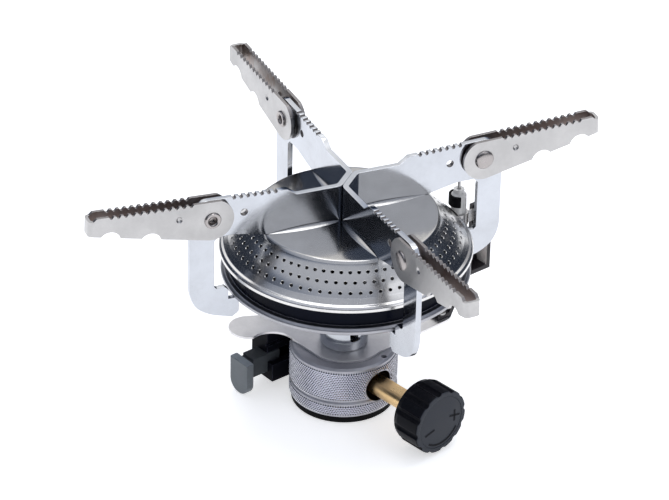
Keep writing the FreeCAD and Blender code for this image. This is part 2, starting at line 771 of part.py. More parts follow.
def burner_cap():
    """The stainless cap: flat disc, three cone bands of flame holes and a rim folded over the bowl."""
    cone = [cap_point(*point) for point in CAP_CONE]
    outer = [
        cap_point(0, -CAP_RIM_DROP),
        cap_point(0, -CAP_RIM_ROUND),
        cap_point(CAP_RIM_ROUND, 0),
        cap_point(*CAP_FOOT),
    ]
    outer += cone + [cap_point(*CAP_STEP), (CAP_DISC_RADIUS, CAP_DISC_Z), (0, CAP_DISC_Z)]
    inner = inward(outer, CAP_SHEET)
    cap = revolved(outer[0], *(outer[1:] + inner[::-1]))
    pitch = 360 / CAP_HOLES
    tools = []
    for row, (low, high) in enumerate(zip(cone, cone[1:])):
        tool = cap_hole_tool(low, high)
        tools += [turn(tool, pitch * (number + 0.5 * (row % 2))) for number in range(CAP_HOLES)]
    return cap.cut(tools)


# Pot supports

def arm_top(x):
    """The height of an arm's toothed edge, which rises a little outwards."""
    return ARM_TOOTH_Z + ARM_RISE * (x - ARM_TOOTH_AT)


def arm_plate():
    """One arm's outline: toothed edge, head round the pivot, leg, and a foot with the rim's slot."""
    head = LEG_OUTER - PIVOT_AT
    shoulder = head - (arm_top(PIVOT_AT) - PIVOT_Z)
    head_radius = head - shoulder
    bend = math.sin(math.radians(45)) * head_radius
    teeth = notch_points(ARM_TOOTH_AT, ARM_TOOTH_PITCH, ARM_TEETH, arm_top, ARM_NOTCH)
    toe_z = BOWL_RIM_Z - FOOT_DEPTH
    toe_end = BOWL_RIM_RADIUS - FOOT_TOE_IN
    under_x = PIVOT_AT - ARM_UNDER[0]
    under_z = PIVOT_Z - ARM_UNDER[1]
    slot_top = SLOT_FLOOR + SLOT_DEPTH
    horn_floor = slot_top - HORN_DROP
    step_end = ARM_TOOTH_AT - ARM_STEP_BACK
    steps = [(step_end - ARM_STEP_RUN, ARM_CENTRE_TOP), (step_end, arm_top(step_end))]
    steps += teeth
    steps += [
        (PIVOT_AT + shoulder, PIVOT_Z + head_radius),
        (PIVOT_AT + shoulder + bend, PIVOT_Z + bend, LEG_OUTER, PIVOT_Z),
        (LEG_OUTER, BOWL_RIM_Z + FOOT_OUTER_UP),
    ]
    steps += [(LEG_OUTER - inset, BOWL_RIM_Z - drop) for inset, drop in FOOT_SLOPE]
    steps += [
        (BOWL_RIM_RADIUS, toe_z),
        (toe_end, toe_z + FOOT_TOE_RISE),
        (toe_end, SLOT_FLOOR - SLOT_CHAMFER),
        (toe_end + SLOT_CHAMFER, SLOT_FLOOR),
        (SLOT_WALL, SLOT_FLOOR),
        (SLOT_WALL, slot_top - FOOT_HORN),
        (SLOT_WALL + FOOT_HORN, slot_top),
        (LEG_INNER - LEG_CORNER, horn_floor),
        (LEG_INNER, horn_floor + LEG_CORNER),
        (LEG_INNER, under_z - ARM_UNDER_ROUND),
        (LEG_INNER - ARM_UNDER_ROUND, under_z),
        (under_x, under_z),
        (ARM_FLOOR_END, ARM_FLOOR),
        (ARM_START, ARM_FLOOR),
    ]
    arm = plate((ARM_START, ARM_CENTRE_TOP), steps, ARM_SHEET)
    across = V(0, ARM_SHEET, 0)
    pivot_hole = rod(RIVET_RADIUS + FIT, V(PIVOT_AT, 0, PIVOT_Z) - across, V(PIVOT_AT, 0, PIVOT_Z) + across)
    detent = V(PIVOT_AT - DETENT_BACK, 0, PIVOT_Z - DETENT_DROP)
    detent_hole = rod(DETENT_RADIUS, detent - across, detent + across)
    return arm.cut([pivot_hole, detent_hole])


def crossing(normal_a, distance_a, normal_b, distance_b):
    """The point where two level lines cross, each given by its normal and its distance from the axis."""
    det = normal_a.x * normal_b.y - normal_a.y * normal_b.x
    x = (distance_a * normal_b.y - distance_b * normal_a.y) / det
    y = (normal_a.x * distance_b - normal_b.x * distance_a) / det
    return V(x, y, 0)


def bend_at(corner, back, ahead, radius):
    """The arc that rounds a corner between two unit directions: its start, middle and end points."""
    bisector = (back + ahead).normalize()
    half = math.acos(max(-1.0, min(1.0, bisector.dot(back))))
    reach = radius / math.tan(half)
    centre = corner + bisector * (radius / math.sin(half))
    return corner + back * reach, centre - bisector * radius, corner + ahead * reach


def bent_path(points, radius):
    """A path through points, with every corner rounded."""
    edges = []
    here = points[0]
    for before, corner, after in zip(points, points[1:], points[2:]):
        back = (before - corner).normalize()
        ahead = (after - corner).normalize()
        start, middle, end = bend_at(corner, back, ahead, radius)
        edges.append(Part.makeLine(here, start))
        edges.append(Part.Arc(start, middle, end).toShape())
        here = end
    edges.append(Part.makeLine(here, points[-1]))
    return Part.Wire(edges)


def sheet_centre(first, second):
    """The middle of a support sheet: the flat at the centre and its bends to two arms."""
    paths = []
    for angle, side in (first, second):
        paths.append((direction(angle), turn_left(direction(angle)) * side))
    (out_a, normal_a), (out_b, normal_b) = paths
    flat_normal = (out_a + out_b).normalize()
    corner_a = crossing(normal_a, ARM_OFFSET, flat_normal, ARM_SHEET / 2)
    corner_b = crossing(normal_b, ARM_OFFSET, flat_normal, ARM_SHEET / 2)
    start = normal_a * ARM_OFFSET + out_a * ARM_START
    end = normal_b * ARM_OFFSET + out_b * ARM_START
    level = V(0, 0, ARM_FLOOR)
    path = bent_path([point + level for point in (start, corner_a, corner_b, end)], ARM_BEND)
    half = normal_a * (ARM_SHEET / 2)
    rise = V(0, 0, ARM_CENTRE_TOP - ARM_FLOOR)
    low = start + level
    section = Part.makePolygon([low - half, low + half, low + half + rise, low - half + rise, low - half])
    return path.makePipeShell([section], True, True)


def turn_left(vector):
    """A level vector turned a quarter turn to the left."""
    return V(-vector.y, vector.x, 0)


def support_sheet(first, second):
    """A bent sheet with two arms."""
    arms = [on_arm(arm_plate(), first), on_arm(arm_plate(), second)]
    return sheet_centre(ARMS[first], ARMS[second]).fuse(arms).removeSplitter()


def leaf_bottom(x):
    """The height of a leaf's lower edge, which rises towards the tip."""
    return LEAF_TOE + LEAF_SLOPE * (x - LEAF_LENGTH)


def leaf_plate(middle):
    """One side of a leaf: round end, toothed top and a lower edge with two scallops."""
    radius = LEAF_END_RADIUS
    top_start = -math.sqrt(radius ** 2 - LEAF_TOP ** 2)
    touch = math.radians(270) + math.atan(LEAF_SLOPE)
    foot = (radius * math.cos(touch), radius * math.sin(touch))
    teeth = notch_points(LEAF_TOOTH_AT, LEAF_TOOTH_PITCH, LEAF_TEETH, lambda x: LEAF_TOP, LEAF_NOTCH)
    steps = list(teeth)
    steps += [
        (LEAF_LENGTH - LEAF_NOSE_ROUND, LEAF_TOP),
        (LEAF_LENGTH, LEAF_TOP - LEAF_NOSE_ROUND),
        (LEAF_LENGTH, LEAF_TOE),
    ]
    for at in reversed(SCALLOP_AT):
        near = at - SCALLOP_CHORD / 2
        far = at + SCALLOP_CHORD / 2
        sagitta = SCALLOP_RADIUS - math.sqrt(SCALLOP_RADIUS ** 2 - (SCALLOP_CHORD / 2) ** 2)
        steps.append((far, leaf_bottom(far)))
        steps.append((at, leaf_bottom(at) + sagitta, near, leaf_bottom(near)))
    steps.append(foot)
    steps.append((-radius, 0, top_start, LEAF_TOP))
    side = plate((top_start, LEAF_TOP), steps, LEAF_SHEET, middle)
    across = V(0, LEAF_HALF * 2, 0)
    hole = rod(RIVET_RADIUS + FIT, across * -1, across)
    return side.cut(hole)


def leaf_web():
    """The web that joins a leaf's sides round the tip, with bent corners."""
    end = LEAF_LENGTH
    steps = []
    for half, bend in ((LEAF_HALF, WEB_ROUND), (LEAF_GAP / 2, WEB_ROUND - LEAF_SHEET)):
        near = end + bend * math.sin(math.radians(45))
        side = half - bend * (1 - math.cos(math.radians(45)))
        steps.append([
            (end, half),
            (near, side, end + bend, half - bend),
            (end + bend, bend - half),
            (near, -side, end, -half),
        ])
    outer, inner = steps
    back = [(end, -LEAF_GAP / 2), (inner[1][0], -inner[1][1], inner[1][2], -inner[1][3]),
            (inner[2][0], -inner[2][1]), (inner[1][0], inner[1][1], end, LEAF_GAP / 2)]
    return slab(outer[0], outer[1:] + back, WEB_LOW, LEAF_TOP - LEAF_NOSE_ROUND)


def leaf():
    """A leaf about its pivot: two sides, the web at the tip, the stop and two dimples."""
    spacing = (LEAF_GAP + LEAF_SHEET) / 2
    sides = [leaf_plate(-spacing), leaf_plate(spacing)]
    tilt = math.sin(math.radians(LEAF_TILT))
    stop_from = LEG_OUTER - PIVOT_AT + STOP_GAP + STOP_HIGH * tilt
    half_gap = LEAF_GAP / 2
    stop = box(stop_from, stop_from + STOP_WIDTH, -half_gap, half_gap, STOP_LOW, STOP_HIGH)
    x, z = DIMPLE_AT
    dimples = []
    for side in (-1, 1):
        dimple = Part.makeCone(DIMPLE_RADIUS, DIMPLE_RADIUS / 2, DIMPLE_DEPTH,
                               V(x, side * half_gap, z), V(0, -side, 0))
        dimples.append(dimple)
    solid = sides[0].fuse([sides[1], leaf_web(), stop] + dimples).removeSplitter()
    pressed = []
    for side in (-1, 1):
        pressed.append(Part.makeCone(DIMPLE_RADIUS, DIMPLE_RADIUS / 2, DIMPLE_DEPTH,
                                     V(x, side * LEAF_HALF, z), V(0, -side, 0)))
    return solid.cut(pressed)


def on_pivot(shape, arm):
    """Place a solid drawn about the pivot on an arm."""
    raised = turn(shape, -LEAF_TILT, axis=V(0, 1, 0))
    return on_arm(shift(raised, x=PIVOT_AT, z=PIVOT_Z), arm)


def rivet():
    """A rivet across Y: domed head on one side, tubular tail flared over the other leaf side."""
    head_at = LEAF_HALF + FIT
    ball = (RIVET_HEAD ** 2 + RIVET_HEAD_HEIGHT ** 2) / (2 * RIVET_HEAD_HEIGHT)
    slope = math.asin(RIVET_HEAD / ball) / 2
    dome = (ball * math.sin(slope), head_at + RIVET_HEAD_HEIGHT - ball * (1 - math.cos(slope)))
    tail_at = -LEAF_HALF - FIT
    shape = revolved(
        (0, head_at + RIVET_HEAD_HEIGHT),
        dome + (RIVET_HEAD, head_at),
        (RIVET_RADIUS, head_at),
        (RIVET_RADIUS, tail_at),
        (RIVET_TAIL, tail_at),
        (RIVET_TAIL - 0.4 * RIVET_TAIL_HEIGHT, tail_at - RIVET_TAIL_HEIGHT),
        (RIVET_BORE, tail_at - RIVET_TAIL_HEIGHT),
        (RIVET_BORE, tail_at - RIVET_TAIL_HEIGHT + RIVET_BORE_DEPTH),
        (0, tail_at - RIVET_TAIL_HEIGHT + RIVET_BORE_DEPTH),
    )
    return turn(shape, 90, axis=V(1, 0, 0))


def washers():
    """The two spacer washers between a leaf's sides and the arm."""
    pair = []
    for side in (-1, 1):
        ring = revolved(
            (RIVET_RADIUS + FIT, 0),
            (WASHER_RADIUS, 0),
            (WASHER_RADIUS, WASHER),
            (RIVET_RADIUS + FIT, WASHER),
        )
        pair.append(shift(turn(ring, -90 * side, axis=V(1, 0, 0)), y=side * ARM_SHEET / 2))
    return Part.makeCompound(pair)


# Igniter

def on_igniter(shape):
    """Place a solid drawn with X along the igniter's axis and Y across, away from the base."""
    return turn(shape, IGNITER_ANGLE)


def igniter_box(x0, x1, near, far, low, high):
    """A block by its distances along and across the igniter's axis."""
    return box(x0, x1, -far, -near, low, high)


def igniter_middle():
    """The distance of the igniter's middle line from the stove's axis."""
    return (LUG_NEAR + IGNITER_FAR) / 2


def igniter_housing():
    """The igniter's body under the plate's left wing, with a lug and grooves on its near side."""
    face = IGNITER_FACE
    body = igniter_box(face - IGNITER_LENGTH, face, IGNITER_NEAR, IGNITER_FAR, IGNITER_BOTTOM, BASE_TOP)
    lug = igniter_box(face - LUG_LENGTH, face, LUG_NEAR, IGNITER_NEAR, IGNITER_BOTTOM, LUG_TOP)
    width, depth = IGNITER_GROOVE
    cuts = []
    for z in IGNITER_GROOVES:
        near = IGNITER_NEAR - depth
        cuts.append(igniter_box(face - IGNITER_LENGTH, face, near, IGNITER_NEAR + depth, z, z + width))
    middle = igniter_middle()
    half = STEM_WIDTH / 2 + FIT
    deep = STEM_INSIDE + BUTTON_TRAVEL + 10 * FIT
    cuts.append(igniter_box(face - deep, face, middle - half, middle + half, STEM_BOTTOM - FIT, STEM_TOP + FIT))
    body = on_igniter(body.fuse(lug).removeSplitter().cut(cuts))
    return body.cut([igniter_screw_shank(SCREW_RADIUS), base_relief(), lead_hole()])


def base_relief():
    """The round clearance that the base needs beside the igniter."""
    return rod(BASE_RADIUS + 4 * FIT, ORIGIN, V(0, 0, BASE_TOP - FIT))


def igniter_button():
    """The push button: a stem in the housing and a rounded cap at its end."""
    middle = igniter_middle()
    half = BUTTON_WIDTH / 2
    inner = IGNITER_FACE + STEM_SHOWN
    outer = inner + BUTTON_THICK
    stem_half = STEM_WIDTH / 2
    stem = igniter_box(IGNITER_FACE - STEM_INSIDE, inner, middle - stem_half, middle + stem_half,
                       STEM_BOTTOM, STEM_TOP)
    low = BUTTON_BOTTOM + BUTTON_ROUND
    turn_point = BUTTON_ROUND * (1 - math.sin(math.radians(45)))
    face = face_of(
        (-middle - half, low),
        [
            (-middle - half + turn_point, BUTTON_BOTTOM + turn_point, -middle - half + BUTTON_ROUND, BUTTON_BOTTOM),
            (-middle + half - BUTTON_ROUND, BUTTON_BOTTOM),
            (-middle + half - turn_point, BUTTON_BOTTOM + turn_point, -middle + half, low),
            (-middle + half, BUTTON_TOP),
            (-middle - half, BUTTON_TOP),
        ],
        lambda y, z: V(inner, y, z),
    )
    cap = face.extrude(V(outer - inner, 0, 0))
    notch = igniter_box(inner - BUTTON_NOTCH, inner, middle - half, middle + half,
                        STEM_TOP - BUTTON_NOTCH, STEM_TOP + BUTTON_NOTCH)
    return on_igniter(cap.fuse(stem).removeSplitter().cut(notch))


def igniter_screw_shank(radius):
    """The line of the screw that holds the igniter under the plate."""
    middle = (IGNITER_NEAR + IGNITER_FAR) / 2
    place = V(SCREW_AT, -middle, PLATE_TOP)
    return on_igniter(rod(radius, place - V(0, 0, SCREW_LENGTH), place))


def igniter_screw():
    """The pan-head screw of the igniter."""
    middle = (IGNITER_NEAR + IGNITER_FAR) / 2
    place = V(SCREW_AT, -middle, PLATE_TOP)
    head = on_igniter(rod(SCREW_HEAD_RADIUS, place, place + V(0, 0, SCREW_HEAD)))
    return head.fuse(igniter_screw_shank(SCREW_RADIUS - FIT))


# Electrode

def channel_frame(shape):
    """Place a solid drawn with X along the channel's width and Y into its depth, from its near corner."""
    return shift(turn(shape, CHANNEL_ANGLE), x=CHANNEL_NEAR, y=CHANNEL_SIDE)


def electrode_bracket():
    """The black channel behind the right leg, on a sloping strap with a foot on the plate."""
    wall = CHANNEL_WALL
    floor = CHANNEL_BOTTOM + wall
    outer = box(-CHANNEL_WIDTH, 0, 0, CHANNEL_DEPTH, CHANNEL_BOTTOM, CHANNEL_TOP)
    hollow = box(wall - CHANNEL_WIDTH, -wall, -wall, CHANNEL_DEPTH - wall, floor, CHANNEL_TOP + wall)
    setback = box(-CHANNEL_WIDTH - wall, -CHANNEL_UPPER_WIDTH, -wall, CHANNEL_DEPTH + wall,
                  CHANNEL_BOTTOM + CHANNEL_LOWER_HEIGHT, CHANNEL_TOP + wall)
    channel = outer.cut([hollow, setback])
    return channel_frame(channel.fuse(strap()).removeSplitter())


def strap():
    """The strap: a foot on the plate, and a slope up to the channel's inner bottom edge."""
    sheet = STRAP_SHEET
    low = PLATE_TOP
    bend = -CHANNEL_WIDTH - STRAP_RUN
    rise = CHANNEL_BOTTOM - low
    slope = math.atan2(rise, STRAP_RUN)
    profile = face_of(
        (bend - STRAP_FOOT, low),
        [
            (bend, low),
            (-CHANNEL_WIDTH, CHANNEL_BOTTOM),
            (-CHANNEL_WIDTH, CHANNEL_BOTTOM + sheet / math.cos(slope)),
            (bend - sheet * math.tan(slope / 2), low + sheet),
            (bend - STRAP_FOOT, low + sheet),
        ],
        upright,
    )
    return profile.extrude(V(0, CHANNEL_DEPTH, 0)).cut(strap_rivet_shanks(STRAP_RIVET + FIT))


def strap_rivet_shanks(radius):
    """The rivets' shanks through the strap's foot and the plate, in the channel's frame."""
    x = -CHANNEL_WIDTH - STRAP_RUN - 0.6 * STRAP_FOOT
    shanks = []
    for share in (0.25, 0.75):
        place = V(x, share * CHANNEL_DEPTH, 0)
        shanks.append(rod(radius, place + V(0, 0, BASE_TOP), place + V(0, 0, PLATE_TOP + STRAP_SHEET)))
    return shanks


def bracket_rivets():
    """The rivets that fix the strap on the plate."""
    rivets = []
    for shank in strap_rivet_shanks(STRAP_RIVET):
        centre = shank.BoundBox.Center
        top = V(centre.x, centre.y, PLATE_TOP + STRAP_SHEET)
        bottom = V(centre.x, centre.y, BASE_TOP)
        head = rod(1.5 * STRAP_RIVET, top, top + V(0, 0, STRAP_RIVET / 2))
        tail = rod(1.3 * STRAP_RIVET, bottom - V(0, 0, STRAP_RIVET / 2), bottom)
        rivets.append(channel_frame(shank.fuse([head, tail])))
    return Part.makeCompound(rivets)


def at_electrode(shape):
    """Place a solid drawn about Z on the electrode's axis."""
    return channel_frame(shift(shape, x=-ELECTRODE_ACROSS, y=ELECTRODE_BACK))


def electrode_ceramic():
    """The white insulator: a post with a narrower collar on top and a bore for the wire."""
    shoulder = CERAMIC_TOP - CERAMIC_STEP
    return at_electrode(revolved(
        (WIRE_RADIUS + FIT, CERAMIC_BOTTOM),
        (CERAMIC_RADIUS, CERAMIC_BOTTOM),
        (CERAMIC_RADIUS, shoulder - CERAMIC_STEP / 2),
        (CERAMIC_STEP_RADIUS, shoulder),
        (CERAMIC_STEP_RADIUS, CERAMIC_TOP),
        (WIRE_RADIUS + FIT, CERAMIC_TOP),
    ))


def electrode_wire():
    """The spark wire through the insulator."""
    return at_electrode(rod(WIRE_RADIUS, V(0, 0, CERAMIC_BOTTOM - WIRE_TAIL), V(0, 0, CERAMIC_TOP + WIRE_TIP)))


def band(inner, sheet, low, high):
    """A ring of sheet about Z."""
    return revolved((inner, low), (inner + sheet, low), (inner + sheet, high), (inner, high))


def electrode_sleeve():
    """The dark open sleeve round the insulator, above the clip."""
    start, end = SLEEVE_OPENING
    ring = band(CERAMIC_RADIUS + FIT, SLEEVE_WALL, SLEEVE_BOTTOM, SLEEVE_BOTTOM + SLEEVE_HEIGHT)
    reach = 3 * CERAMIC_RADIUS
    wedge = Part.makeCylinder(reach, SLEEVE_HEIGHT, V(0, 0, SLEEVE_BOTTOM), UP, end - start)
    return at_electrode(turn(ring.cut(turn(wedge, start)), -CHANNEL_ANGLE))


def electrode_clip():
    """The spring clip: a band round the insulator and a tongue along the channel's back wall."""
    inner = CERAMIC_RADIUS + FIT
    ring = band(inner, CLIP_SHEET, CLIP_BOTTOM, CLIP_TOP)
    face = CHANNEL_DEPTH - CHANNEL_WALL - ELECTRODE_BACK
    end = ELECTRODE_ACROSS - CHANNEL_WALL - CLIP_SHEET
    tongue = box(0, end, face - CLIP_SHEET, face, CLIP_BOTTOM, CLIP_TOP)
    hole = rod(inner, V(0, 0, CLIP_BOTTOM), V(0, 0, CLIP_TOP))
    return at_electrode(ring.fuse(tongue.cut(hole)).removeSplitter())


def lead_points():
    """The lead's route: from the igniter's back end, behind the plate, up to the spark wire's tail."""
    along = direction(IGNITER_ANGLE)
    across = turn_left(along) * -((IGNITER_NEAR + IGNITER_FAR) / 2)
    start = along * (IGNITER_FACE - IGNITER_LENGTH) + across + V(0, 0, BASE_TOP - LEAD_SAG)
    tail = at_electrode(Part.Vertex(0, 0, CERAMIC_BOTTOM - WIRE_TAIL)).Point
    corner = channel_frame(Part.Vertex(-CHANNEL_WIDTH, CHANNEL_DEPTH, CHANNEL_BOTTOM)).Point
    return [
        start + along * LEAD_SAG,
        start - along * 3 * LEAD_SAG,
        corner + V(-3 * LEAD_SAG, 3 * LEAD_SAG, -5 * LEAD_SAG),
        tail - V(0, 0, 4 * LEAD_SAG) + (start - tail).normalize() * LEAD_SAG,
        tail - V(0, 0, LEAD_SAG),
        tail,
    ]


def igniter_lead():
    """The insulated lead between igniter and electrode."""
    points = lead_points()
    section = Part.Wire([Part.Circle(points[0], direction(IGNITER_ANGLE), LEAD_RADIUS).toShape()])
    return bent_path(points, LEAD_BEND).makePipeShell([section], True, True)


def lead_hole():
    """The hole for the lead in the igniter's back end."""
    start, bend = lead_points()[:2]
    return rod(LEAD_RADIUS + FIT, start, bend)


def build():
    """Every node's shape by its name."""
    nodes = {
        "base_body": base_body(),
        "base_ring": base_ring(),
        "inlet_seal": inlet_seal(),
        "gas_filter": gas_filter(),
        "valve_pin": valve_pin(),
        "valve_needle": valve_needle(),
        "valve_spindle": valve_spindle(),
        "spindle_seal": spindle_seal(),
        "gland_nut": gland_nut(),
        "knob": knob(),
        "knob_face": knob_face(),
        "gas_jet": gas_jet(),
        "bracket_plate": bracket_plate(),
        "tube_socket": tube_socket(),
        "mixing_tube": mixing_tube(),
        "burner_bowl": burner_bowl(),
        "burner_cap": burner_cap(),
        "support_sheet_left": support_sheet("left", "rear"),
        "support_sheet_right": support_sheet("right", "front"),
        "leaf_rivets": Part.makeCompound([on_pivot(rivet(), arm) for arm in ARMS]),
        "leaf_washers": Part.makeCompound([on_pivot(washers(), arm) for arm in ARMS]),
        "igniter_housing": igniter_housing(),
        "igniter_button": igniter_button(),
        "igniter_screw": igniter_screw(),
        "electrode_bracket": electrode_bracket(),
        "bracket_rivets": bracket_rivets(),
        "electrode_clip": electrode_clip(),
        "electrode_ceramic": electrode_ceramic(),
        "electrode_wire": electrode_wire(),
        "electrode_sleeve": electrode_sleeve(),
        "igniter_lead": igniter_lead(),
    }
    for arm in ARMS:
        nodes["leaf_" + arm] = on_pivot(leaf(), arm)
    return nodes


os.makedirs("parts", exist_ok=True)
for name, shape in build().items():
    shape.exportStep("parts/" + name + ".step")
    print(name, "solids", len(shape.Solids), "valid", shape.isValid(), "volume", round(shape.Volume, 1))
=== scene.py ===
import json
import math

import bmesh
import bpy
from bpy.props import FloatProperty, FloatVectorProperty, IntProperty, PointerProperty
from mathutils import Matrix, Vector

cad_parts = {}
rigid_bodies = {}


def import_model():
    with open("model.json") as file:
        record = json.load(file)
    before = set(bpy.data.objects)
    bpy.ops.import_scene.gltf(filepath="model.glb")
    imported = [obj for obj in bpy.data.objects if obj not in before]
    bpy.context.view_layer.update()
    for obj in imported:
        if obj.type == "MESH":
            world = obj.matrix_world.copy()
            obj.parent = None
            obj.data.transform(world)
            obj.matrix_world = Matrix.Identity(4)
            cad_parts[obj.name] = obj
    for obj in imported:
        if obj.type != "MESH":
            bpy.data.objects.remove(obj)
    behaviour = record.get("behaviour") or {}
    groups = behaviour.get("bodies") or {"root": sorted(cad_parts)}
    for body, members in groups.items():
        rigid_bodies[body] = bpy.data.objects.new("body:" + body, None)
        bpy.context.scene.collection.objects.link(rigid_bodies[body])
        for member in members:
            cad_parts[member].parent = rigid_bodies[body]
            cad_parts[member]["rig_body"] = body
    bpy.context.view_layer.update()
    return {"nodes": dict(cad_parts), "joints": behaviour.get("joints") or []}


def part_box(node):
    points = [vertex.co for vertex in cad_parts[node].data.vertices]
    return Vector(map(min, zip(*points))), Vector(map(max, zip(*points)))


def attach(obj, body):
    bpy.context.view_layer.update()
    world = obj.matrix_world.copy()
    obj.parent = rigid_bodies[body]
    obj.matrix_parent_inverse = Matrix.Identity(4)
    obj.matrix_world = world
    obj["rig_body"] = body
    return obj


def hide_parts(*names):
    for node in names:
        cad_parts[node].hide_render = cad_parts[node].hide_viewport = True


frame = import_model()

bl_info = {
    "name": "Backpacking Stove",
    "version": (1, 0, 0),
    "blender": (4, 5, 0),
    "location": "View3D > Sidebar > Stove",
    "description": "Builds the pieces and finishes of a folding backpacking stove round its frame",
    "category": "Object",
}

MM = 0.001
STOVE = "stove"
WHITE = (1.0, 1.0, 1.0, 1.0)


# Places that the frame gives, in millimetres and degrees

def direction(angle):
    """The level unit vector at an angle from +X."""
    return Vector((math.cos(math.radians(angle)), math.sin(math.radians(angle)), 0.0))


def on_arm(vector, angle):
    """A vector's parts out along an arm and across it."""
    out = direction(angle)
    return vector.dot(out), vector.dot(Vector((-out.y, out.x, 0.0)))


def bearing(vector):
    """A level vector's angle from +X."""
    return math.degrees(math.atan2(vector.y, vector.x))


def joint(name):
    """The place and the axis of a joint of the frame."""
    found = next(item for item in frame["joints"] if item["name"] == name)
    return Vector(found.get("pos_m", (0.0, 0.0, 0.0))) / MM, Vector(found["axis"])


def fold_bearing(arm):
    """The angle of an arm: its leaf's hinge lies square to it, a quarter turn back."""
    return bearing(joint("leaf_" + arm + "_fold")[1]) + 90.0


BASE_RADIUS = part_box("base_body")[1][0] / MM
CAP_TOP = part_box("burner_cap")[1][2] / MM
VALVE_Z = joint("knob_turn")[0].z
KNOB_ANGLE = bearing(joint("knob_turn")[1])
IGNITER_ANGLE = bearing(-joint("button_press")[1])
ARM_SIDES = (("right", 1), ("rear", -1), ("left", 1), ("front", -1))
ARMS = [(arm, fold_bearing(arm), side) for arm, side in ARM_SIDES]
ARM_SKEW = fold_bearing("rear") - 90.0
PIVOT_AT, ARM_OFFSET = on_arm(joint("leaf_right_fold")[0], fold_bearing("right"))
PIVOT_Z = joint("leaf_right_fold")[0].z

# Sizes that the solids have too, in millimetres and degrees
SOCKET_RADIUS = 5.2
KNOB_RADIUS = 12.7
KNOB_FACE_AT = 52.5
SPINDLE_FLAT = 3.2
ARM_HALF = 1.1
ARM_RISE = 0.045
ARM_TEETH_FROM = 29.0
ARM_TEETH_TO = 47.5
ARM_TOOTH_Z = 97.8
DETENT_BACK = 12.9
DETENT_DROP = 0.3
LEAF_SIDE = 3.25
LEAF_TILT = math.atan(ARM_RISE)
CHANNEL_ANGLE = 17.0

# Bounds of the areas that get a finish of their own, in millimetres
PORT_CLEAR = 6.5
PORT_FROM = 4.0
PORT_TO = 18.6
KNOB_FRONT_FROM = 52.3
BOWL_WALL_OUT = 43.3
BOWL_WALL_FROM = 58.9
BOWL_WALL_TO = 66.6
CAP_RIM_TO = 68.6
CAP_DISC_FROM = 80.0
NOTCH_DEPTH = 1.2
NOTCH_SKIN = 0.12
DETENT_CLEAR = 1.7
LEAF_INSIDE = 2.15
LEAF_EDGE_UP = 4.0
BUTTON_SHANK_TO = 27.3
BUTTON_CAP_FROM = 27.9
CHANNEL_WALL_FROM = 58.0

# Limits for the faces' normals in those areas, as parts of a unit vector
RIM_NORMAL_UP = -0.3
SHEET_NORMAL_ACROSS = 0.85
LEAF_NORMAL_UP = 0.6
LEAF_NORMAL_OUT = 0.3
LEAF_FACING = 0.1
LEAF_EDGE_NORMAL_UP = 0.3
BUTTON_NORMAL_UP = 0.7
CHANNEL_NORMAL_OUT = -0.9

# Profiles, as radii and heights in millimetres, and the radii of their corners by number
KNOB_PROFILE = [
    (0.0, 51.4), (10.6, 51.4), (10.6, 52.6), (12.45, 52.6), (KNOB_RADIUS, 52.0), (KNOB_RADIUS, 42.1),
    (11.8, 39.7), (9.4, 39.7), (9.4, 46.6), (6.0, 46.6), (6.0, 40.7), (4.0, 40.7), (4.0, 49.0), (0.0, 49.0),
]
KNOB_ROUNDS = {2: 0.12, 3: 0.35, 4: 0.35, 5: 1.2, 6: 0.5, 7: 0.4, 8: 0.8, 9: 0.8, 10: 0.4, 11: 0.3}
KNOB_FACE_PROFILE = [(0.0, 51.4), (10.55, 51.4), (10.55, KNOB_FACE_AT), (0.0, KNOB_FACE_AT)]
KNOB_FACE_ROUNDS = {2: 0.15}
BOWL_PROFILE = [
    (9.55, 48.0), (10.35, 48.0), (10.35, 50.2), (41.6, 55.8), (45.6, 55.8), (46.4, 56.6), (46.4, 57.7),
    (45.4, 58.7), (43.6, 58.7), (43.6, 66.55), (46.0, 66.55), (46.0, 67.35), (42.8, 67.35), (42.8, 57.9),
    (41.6, 56.6), (11.15, 51.0), (9.55, 51.0),
]
BOWL_ROUNDS = {2: 0.8, 3: 1.5, 4: 0.8, 5: 0.8, 6: 0.8, 7: 0.9, 8: 0.5, 9: 0.6, 10: 0.3, 11: 0.3, 12: 0.6,
               13: 0.6, 14: 0.6, 15: 0.8}
CAP_SHEET = 0.8
CAP_OUTER = [
    (47.1, 66.2), (47.1, 67.4), (46.3, 68.2), (45.3, 68.35), (43.6, 70.2), (41.2, 73.2), (38.4, 75.85),
    (35.3, 78.4), (34.75, 79.2), (33.9, CAP_TOP), (32.6, CAP_TOP), (0.0, CAP_TOP),
]
CAP_HOLE_BANDS = range(4, 7)  # the numbers of the outer profile's points where a band of holes starts
CAP_LOWER_ROUNDS = {1: 0.7, 2: 0.7, 3: 0.6}
CAP_UPPER_ROUNDS = {1: 0.5, 2: 0.9}
RIVET_TAIL = (
    (2.0, 0.0), (3.1, 0.0), (3.15, -0.3), (2.9, -0.68), (2.4, -0.8), (1.95, -0.7), (1.6, -0.35), (1.45, 0.3),
    (1.4, 1.4), (0.0, 1.4),
)

# The marks on the knob's face: points down and to the right of its middle, in millimetres
KNOB_SIGNS = ([(3.05, -7.9), (2.0, -3.2)], [(-2.6, 7.0), (2.3, 7.0)], [(-0.75, 4.5), (0.45, 9.5)])
ARC_RADIUS = 9.35
ARC_FROM = -39.0
ARC_SWEEP = 97.0
ARC_STEPS = 24
MARK_WIDTH = 0.75
MARK_SUNK = 0.05

